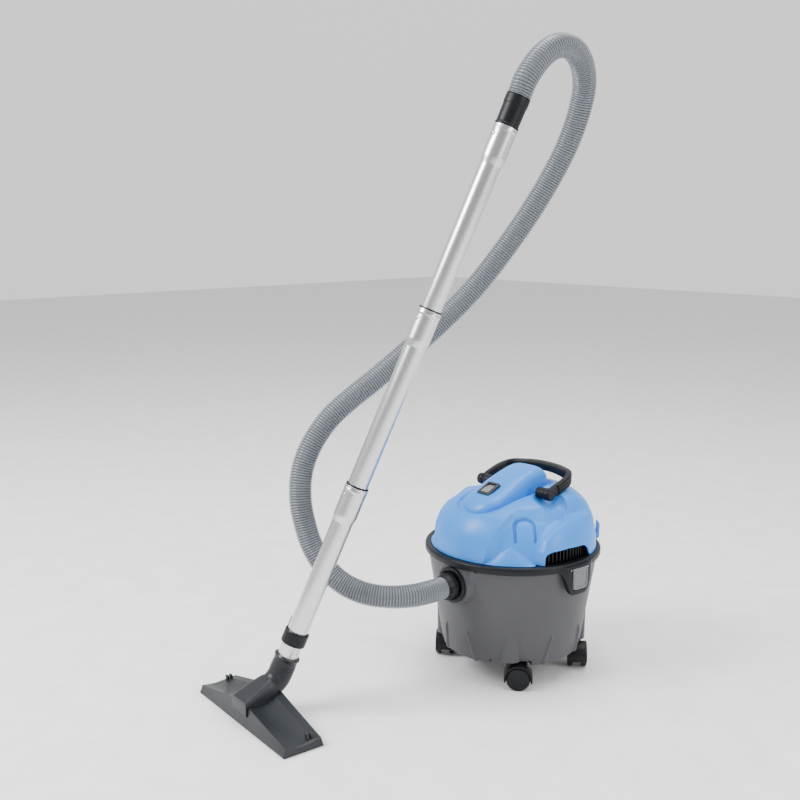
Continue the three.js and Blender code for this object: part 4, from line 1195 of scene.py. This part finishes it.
def make_caster(name):
    """A twin wheel under a curved hood, on a steel stem."""
    degrees = CASTER_DEGREES[name]
    a = math.radians(degrees)
    foot = Matrix.Translation((CASTER_PIVOT * math.cos(a), CASTER_PIVOT * math.sin(a), 0))
    place = TUB @ foot @ Matrix.Rotation(math.radians(degrees + CASTER_TURNS[name]), 4, "Z")
    wheel_middle = (CASTER_TRAIL, WHEEL_RADIUS)
    hood = prism("hood", arc(25.6, -14, 194, 44, wheel_middle) + arc(22.3, 194, -14, 44, wheel_middle), 35,
                 BLACK, 1.0, 2)
    move(hood, Matrix.Translation((0, 17.5, 0)) @ UPRIGHT)
    core_line = arc(25, -14, 194, 40, wheel_middle)
    core = prism("core", core_line, 14.6, BLACK, 0.8, 2)
    move(core, Matrix.Translation((0, 7.3, 0)) @ UPRIGHT)
    shank = rounded([(0, 30, 0), (7.3, 30), (7.3, 47.5), (6.4, 49.6), (0, 49.6, 0)], 0.8, False)
    post = lathe("post", shank, BLACK, 48, closed=False)
    axle = rod("axle", (CASTER_TRAIL, -16.6, WHEEL_RADIUS), (CASTER_TRAIL, 16.6, WHEEL_RADIUS), 3,
               BLACK, 32)
    join(hood, core, post, axle)
    hood.name = f"caster_hood_{name}"
    finish_piece(hood, place, f"caster_{name}", "black_trim", f"caster_fork_{name}")
    stem = lathe(f"caster_stem_{name}", rounded([(0, 49.7, 0), (5.1, 49.7), (5.1, 52), (4.4, 53), (4.4, 71),
                 (3.2, 74), (0, 74, 0)], 0.5, False), STEEL, 40, closed=False)
    finish_piece(stem, place, f"caster_{name}", "pin_steel")
    inner = 1 if CASTER_TURNS[name] > 0 else -1
    for side, label in ((inner, "inner"), (-inner, "outer")):
        outline = rounded([(3.3, 0), (19.6, 0), (21, 1.6), (21, 7.6, 1.6), (19.4, 9.6), (17.6, 9.6),
                           (16.8, 8.8), (8.5, 9.3), (0, 9.8, 0), (0, 9.0, 0), (3.3, 9.0)], 0.6)
        wheel = lathe(f"caster_tread_{label}_{name}", outline, WHEEL_BLACK, 80)
        turn = Matrix.Rotation(math.radians(-90 * side), 4, "X")
        stand = Matrix.Translation((CASTER_TRAIL, 8.0 * side, WHEEL_RADIUS)) @ turn
        finish_piece(wheel, place @ stand, f"wheels_{name}", "wheel_black", f"caster_wheel_{label}_{name}")


# ---------------------------------------------------------------- the floor tool
def wing_height(x, y):
    """The tool's top: a hollow between a low front ridge and a taller rear one, falling to the ends."""
    share = np.clip((np.abs(x) - 24) / 121, 0, 1)
    front = 36.5 - 22.5 * share
    rear = 45 - 30.5 * share ** 0.95
    u = np.clip((y + 32) / 65, 0, 1)
    hollow = (5.0 - 2.6 * share) * np.sin(math.pi * np.clip(u * 1.25, 0, 1))
    height = front - hollow + (rear - front) * u ** 2.3
    leaning = np.clip((y + 37) / 5, 0, 1)
    height = np.where(y < -32, 1.5 + (front - 1.5) * leaning, height)
    back = np.clip((37 - y) / 4, 0, 1)
    return np.where(y > 33, 1.5 + (rear - 1.5) * back, height)


def make_wings():
    """The sculpted wings, as a closed solid on a flat bottom."""
    xs = np.concatenate([[-145, -144.4, -143.2], np.linspace(-141, 141, 142), [143.2, 144.4, 145]])
    ys = np.concatenate([np.linspace(-37, -32, 5), np.linspace(-31.4, 32.4, 44), np.linspace(33, 37, 5)])
    x, y = np.meshgrid(xs, ys, indexing="ij")
    end = np.interp(np.abs(x), [141, 143.2, 144.4, 145], [0, 0.4, 1.2, 3.2])
    top = np.maximum(wing_height(x, y) - end, 1.4)
    rows, columns = x.shape
    upper = np.stack([x, y, top], axis=-1).reshape(-1, 3)
    lower = np.stack([x, y, np.ones_like(x)], axis=-1).reshape(-1, 3)
    faces = [tuple(f) for f in grid_faces(rows, columns)]
    offset = rows * columns
    under = [tuple(offset + k for k in f[::-1]) for f in faces]
    border = [i * columns for i in range(rows)]
    border += [(rows - 1) * columns + j for j in range(1, columns)]
    border += [i * columns + columns - 1 for i in range(rows - 2, -1, -1)]
    border += list(range(columns - 2, 0, -1))
    walls = [(a, b, b + offset, a + offset) for a, b in zip(border, border[1:] + border[:1])]
    return add_object("tool_wings", np.vstack([upper, lower]), faces + under + walls, TOOL_PLASTIC, 28)


def make_stub():
    """The boxy part of the tool that narrows to the round swivel."""
    rings = []
    for along, half, tall, power in STUB_RINGS:
        angle = np.linspace(0, 2 * math.pi, 64, endpoint=False)
        c, s = np.cos(angle), np.sin(angle)
        size = (np.abs(c) ** power + np.abs(s) ** power) ** (-1 / power)
        rings.append(np.stack([c * size * half, np.full(64, along), s * size * tall], axis=1))
    stub = loft("stub", np.array(rings), TOOL_PLASTIC, 40)
    move(stub, stub_in_tool())
    trims = [block("trim", -60, 60, -80, -36.4, -20, 90, TOOL_PLASTIC, 0),
             block("trim", -60, 60, -50, 90, -30, 8, TOOL_PLASTIC, 0)]
    return cut(stub, *trims)


def make_tool_body():
    """The tool's body: the wings and the stub, with an open underside and two tabs at each end."""
    body = make_wings()
    join(body, make_stub(), sharp=28)
    hollow = block("hollow", -142.1, 142.1, -34.1, 34.1, -5, 4.5, TOOL_PLASTIC, 0)
    slot_room = block("slot", -118, 118, -13.5, 5.5, 3, 10.5, TOOL_PLASTIC, 0)
    seat = move(rod("seat", (0, -40, 0), (0, 10, 0), 15.2, TOOL_PLASTIC), stub_in_tool())
    cut(body, hollow, slot_room, seat, sharp=28)
    tabs = []
    for side in (1, -1):
        for y0 in (10, 17):
            x = side * 134
            tabs.append(block("tab", x - 4, x + 4, y0, y0 + 4, 8, 23.5, TOOL_PLASTIC, 0.7))
    join(body, *tabs, sharp=28)
    return finish_piece(body, TOOL, "floor_tool", "tool_plastic", "tool_body")


def stub_in_tool():
    """The stub's frame: the elbow at its origin and the swivel's axis along Y."""
    return Matrix.Translation(ELBOW) @ Matrix.Rotation(STUB_SLOPE, 4, "X")


def make_neck():
    """The elbow and the neck that the wand plugs into, with a flared lip."""
    elbow = Vector(ELBOW)
    along = Vector((0, math.cos(STUB_SLOPE), math.sin(STUB_SLOPE)))
    up = wand_turn.to_3x3() @ Vector((0, 0, 1))
    weight = math.cos(along.angle(up) / 2)
    line = []
    for t in np.linspace(0, 1, 14):
        shares = np.array([(1 - t) ** 2, 2 * weight * t * (1 - t), t * t])
        start, _, end = shares / shares.sum()
        line.append(elbow - along * (13.7 * start) + up * (13.7 * end))
    line += [elbow + up * t for t in np.linspace(15, NECK_LENGTH, 24)]
    reach = [0] * 14 + list(np.linspace(15, NECK_LENGTH, 24))
    circle = np.linspace(0, 2 * math.pi, 72, endpoint=False)

    def section(i):
        lip = smoothstep(NECK_LENGTH - 5, NECK_LENGTH - 1, reach[i])
        radius = 20.9 - 0.5 * smoothstep(12, 24, reach[i]) + 1.9 * lip
        return [(radius * math.cos(a), radius * math.sin(a)) for a in circle]

    neck = loft("tool_elbow", tube_points(line, section, (1, 0, 0)), TOOL_PLASTIC, 40)
    in_tool = Matrix.Translation(ELBOW) @ wand_turn
    bore = move(rod("bore", (0, 0, 16), (0, 0, 60), 17.8, TOOL_PLASTIC, 96), in_tool)
    cut(neck, bore, sharp=40)
    rings = []
    for low_z in (18, 23, 28):
        outline = [(19, low_z), (21.1, low_z + 0.6), (21.1, low_z + 1.6), (19, low_z + 2.2)]
        ring = lathe("ring", rounded(outline, 0.4), TOOL_PLASTIC, 96)
        rings.append(move(ring, in_tool))
    join(neck, *rings, sharp=40)
    return finish_piece(neck, TOOL, "hose_set", "tool_plastic", "tool_neck")


def make_brush():
    """The rear strip: rows of tufts in a low rail."""
    rail = block("bristle_strip", -134, 134, 28.2, 31, 2.9, 5, BRISTLE, 0.3)
    tufts = []
    for k in range(67):
        x = -132 + 4 * k
        tufts.append(lathe("tuft", [(0, 0), (1.25, 0), (0.95, 3.2), (0, 3.2)], BRISTLE, 8, closed=False))
        move(tufts[-1], Matrix.Translation((x, 29.6, 0)))
    bpy.context.view_layer.update()
    merge(rail, tufts)
    return finish_piece(rail, TOOL, "floor_tool", "brush_bristle", "tool_brush_rear")


def merge(obj, others):
    """Puts the meshes of several objects into one, without cutting them."""
    work = bmesh.new()
    work.from_mesh(obj.data)
    for other in others:
        work.from_mesh(other.data)
        bpy.data.objects.remove(other)
    work.to_mesh(obj.data)
    work.free()
    shade(obj, 35)


# ---------------------------------------------------------------- inside the head
def make_filter():
    """The pleated filter sleeve over the cage."""
    low_z, high_z, pleats = 124.4, 215.6, 60
    per_pleat = 6
    count = pleats * per_pleat
    angle = np.linspace(0, 2 * math.pi, count, endpoint=False)
    fold = np.abs((np.arange(count) % per_pleat) / per_pleat * 2 - 1)
    outer = 52.2 + 4.6 * smoothstep(0.05, 0.95, fold)
    rows = []
    for z, pull in ((low_z, 0.0), (low_z + 4, 0.0), (low_z + 5, 1.0), (high_z - 5, 1.0), (high_z - 4, 0.0),
                    (high_z, 0.0)):
        radius = 56.6 + (outer - 56.6) * pull
        rows.append(np.stack([radius * np.cos(angle), radius * np.sin(angle), np.full(count, z)], axis=1))
    for z in (high_z, low_z):
        rows.append(np.stack([50.4 * np.cos(angle), 50.4 * np.sin(angle), np.full(count, z)], axis=1))
    rows = np.array(rows)
    faces = grid_faces(len(rows), count, True, True)
    sleeve = add_object("filter_pleats", rows.reshape(-1, 3), faces, FILTER_CLOTH, 25)
    return finish_piece(sleeve, TUB, "head", "filter_cloth", "filter_sleeve")


def dress_cad_nodes():
    """Gives the CAD pieces that still show their finishes."""
    looks = {
        "inlet_deflector": BLACK, "head_base": BLACK, "filter_cage": BLACK, "tub_gasket": RUBBER,
        "filter_band": RUBBER, "fan_housing": MOTOR_STEEL, "motor_can": MOTOR_STEEL, "motor_rotor": STEEL,
        "motor_stator": COPPER, "impeller": IMPELLER, "float_ball": FLOAT_WHITE, "latch_pin_left": STEEL,
        "latch_pin_right": STEEL, "handle_pin_left": STEEL, "handle_pin_right": STEEL,
        "tool_sole": TOOL_PLASTIC, "tool_lip_front": RUBBER,
    }
    for node, look in looks.items():
        obj = frame["nodes"][node]
        obj.data.materials.clear()
        obj.data.materials.append(look)
        shade(obj, 30)


# ---------------------------------------------------------------- making it all
BLUE = plastic("blue_shell_plastic", (0.03, 0.255, 0.78), 0.34, 0.04, 1400, 0.02, 0.0, 0.4)
TUB_GREY = plastic("tub_plastic", (0.058, 0.058, 0.066), 0.44, 0.16, 1500, 0.05, 0.0, 0.35)
BLACK = plastic("black_plastic", (0.005, 0.0055, 0.008), 0.42, 0.14, 1500, 0.1, 0.0, 0.25)
HANDLE_BLACK = plastic("handle_plastic", (0.005, 0.0055, 0.008), 0.42, 0.18, 1600, 0.1, 0.0, 0.25)
WHEEL_BLACK = plastic("wheel_plastic", (0.004, 0.0045, 0.006), 0.36, 0.12, 1300, 0.1, 0.0, 0.25)
LATCH_GREY = plastic("latch_plastic", (0.14, 0.145, 0.16), 0.4, 0.1, 1500, 0.04, 0.0, 0.35)
GLOSS_BLACK = plastic("switch_plastic", (0.008, 0.008, 0.01), 0.2, 0.03, 1500, 0.1, 0.3)
ROCKER_GREY = plastic("rocker_plastic", (0.17, 0.18, 0.2), 0.22, 0.03, 1500, 0.05, 0.5)
HOSE_PLASTIC = plastic("hose_plastic_silver", (0.15, 0.165, 0.185), 0.24, 0.04, 1800, 0.05, 0.0, 0.6)
TOOL_PLASTIC = plastic("tool_plastic_charcoal", (0.012, 0.0145, 0.018), 0.4, 0.2, 1500, 0.1, 0.0, 0.35)
FLOAT_WHITE = plastic("float_plastic", (0.7, 0.7, 0.67), 0.4, 0.1, 1200, 0.03)
RUBBER = plastic("black_rubber", (0.01, 0.01, 0.011), 0.62, 0.3, 1100, 0.15)
ALUMINIUM = metal("wand_aluminium_brushed", (0.7, 0.705, 0.715), 0.27, (1, 1, 0.015), 1600, 0.1)
STEEL = metal("turned_steel", (0.62, 0.63, 0.65), 0.26, (1, 1, 8), 500, 0.1)
MOTOR_STEEL = metal("pressed_steel", (0.5, 0.51, 0.53), 0.4, (1, 1, 0.3), 300, 0.15)
IMPELLER = metal("pressed_aluminium", (0.72, 0.73, 0.74), 0.34, (1, 1, 3), 400, 0.12)
COPPER = banded("copper_windings", (0.5, 0.2, 0.09), 0.35, 260, "Z", 0.6, 0.8)
FILTER_CLOTH = banded("filter_cloth_weave", (0.75, 0.71, 0.62), 0.85, 420, "Z", 0.5)
BRISTLE = banded("brush_bristles", (0.03, 0.03, 0.032), 0.7, 380, "X", 0.9)

add_camera()
hose_piece, hose_path, hose_length = make_hose()
cuff_piece = make_cuff()
end_piece = make_end_tube()
add_stage()
for section in WAND_STARTS:
    make_wand(section)
make_wand_seals()
make_clip_collar()
make_dome()
make_tongue()
make_switch()
for hand in (1, -1):
    make_grille(hand)
    make_latch(hand)
    make_pivot_boss(hand)
make_hook()
make_gland()
make_handle()
make_collar()
make_tub()
make_inlet()
for corner in CASTER_DEGREES:
    make_caster(corner)
make_tool_body()
make_neck()
make_brush()
make_filter()
dress_cad_nodes()
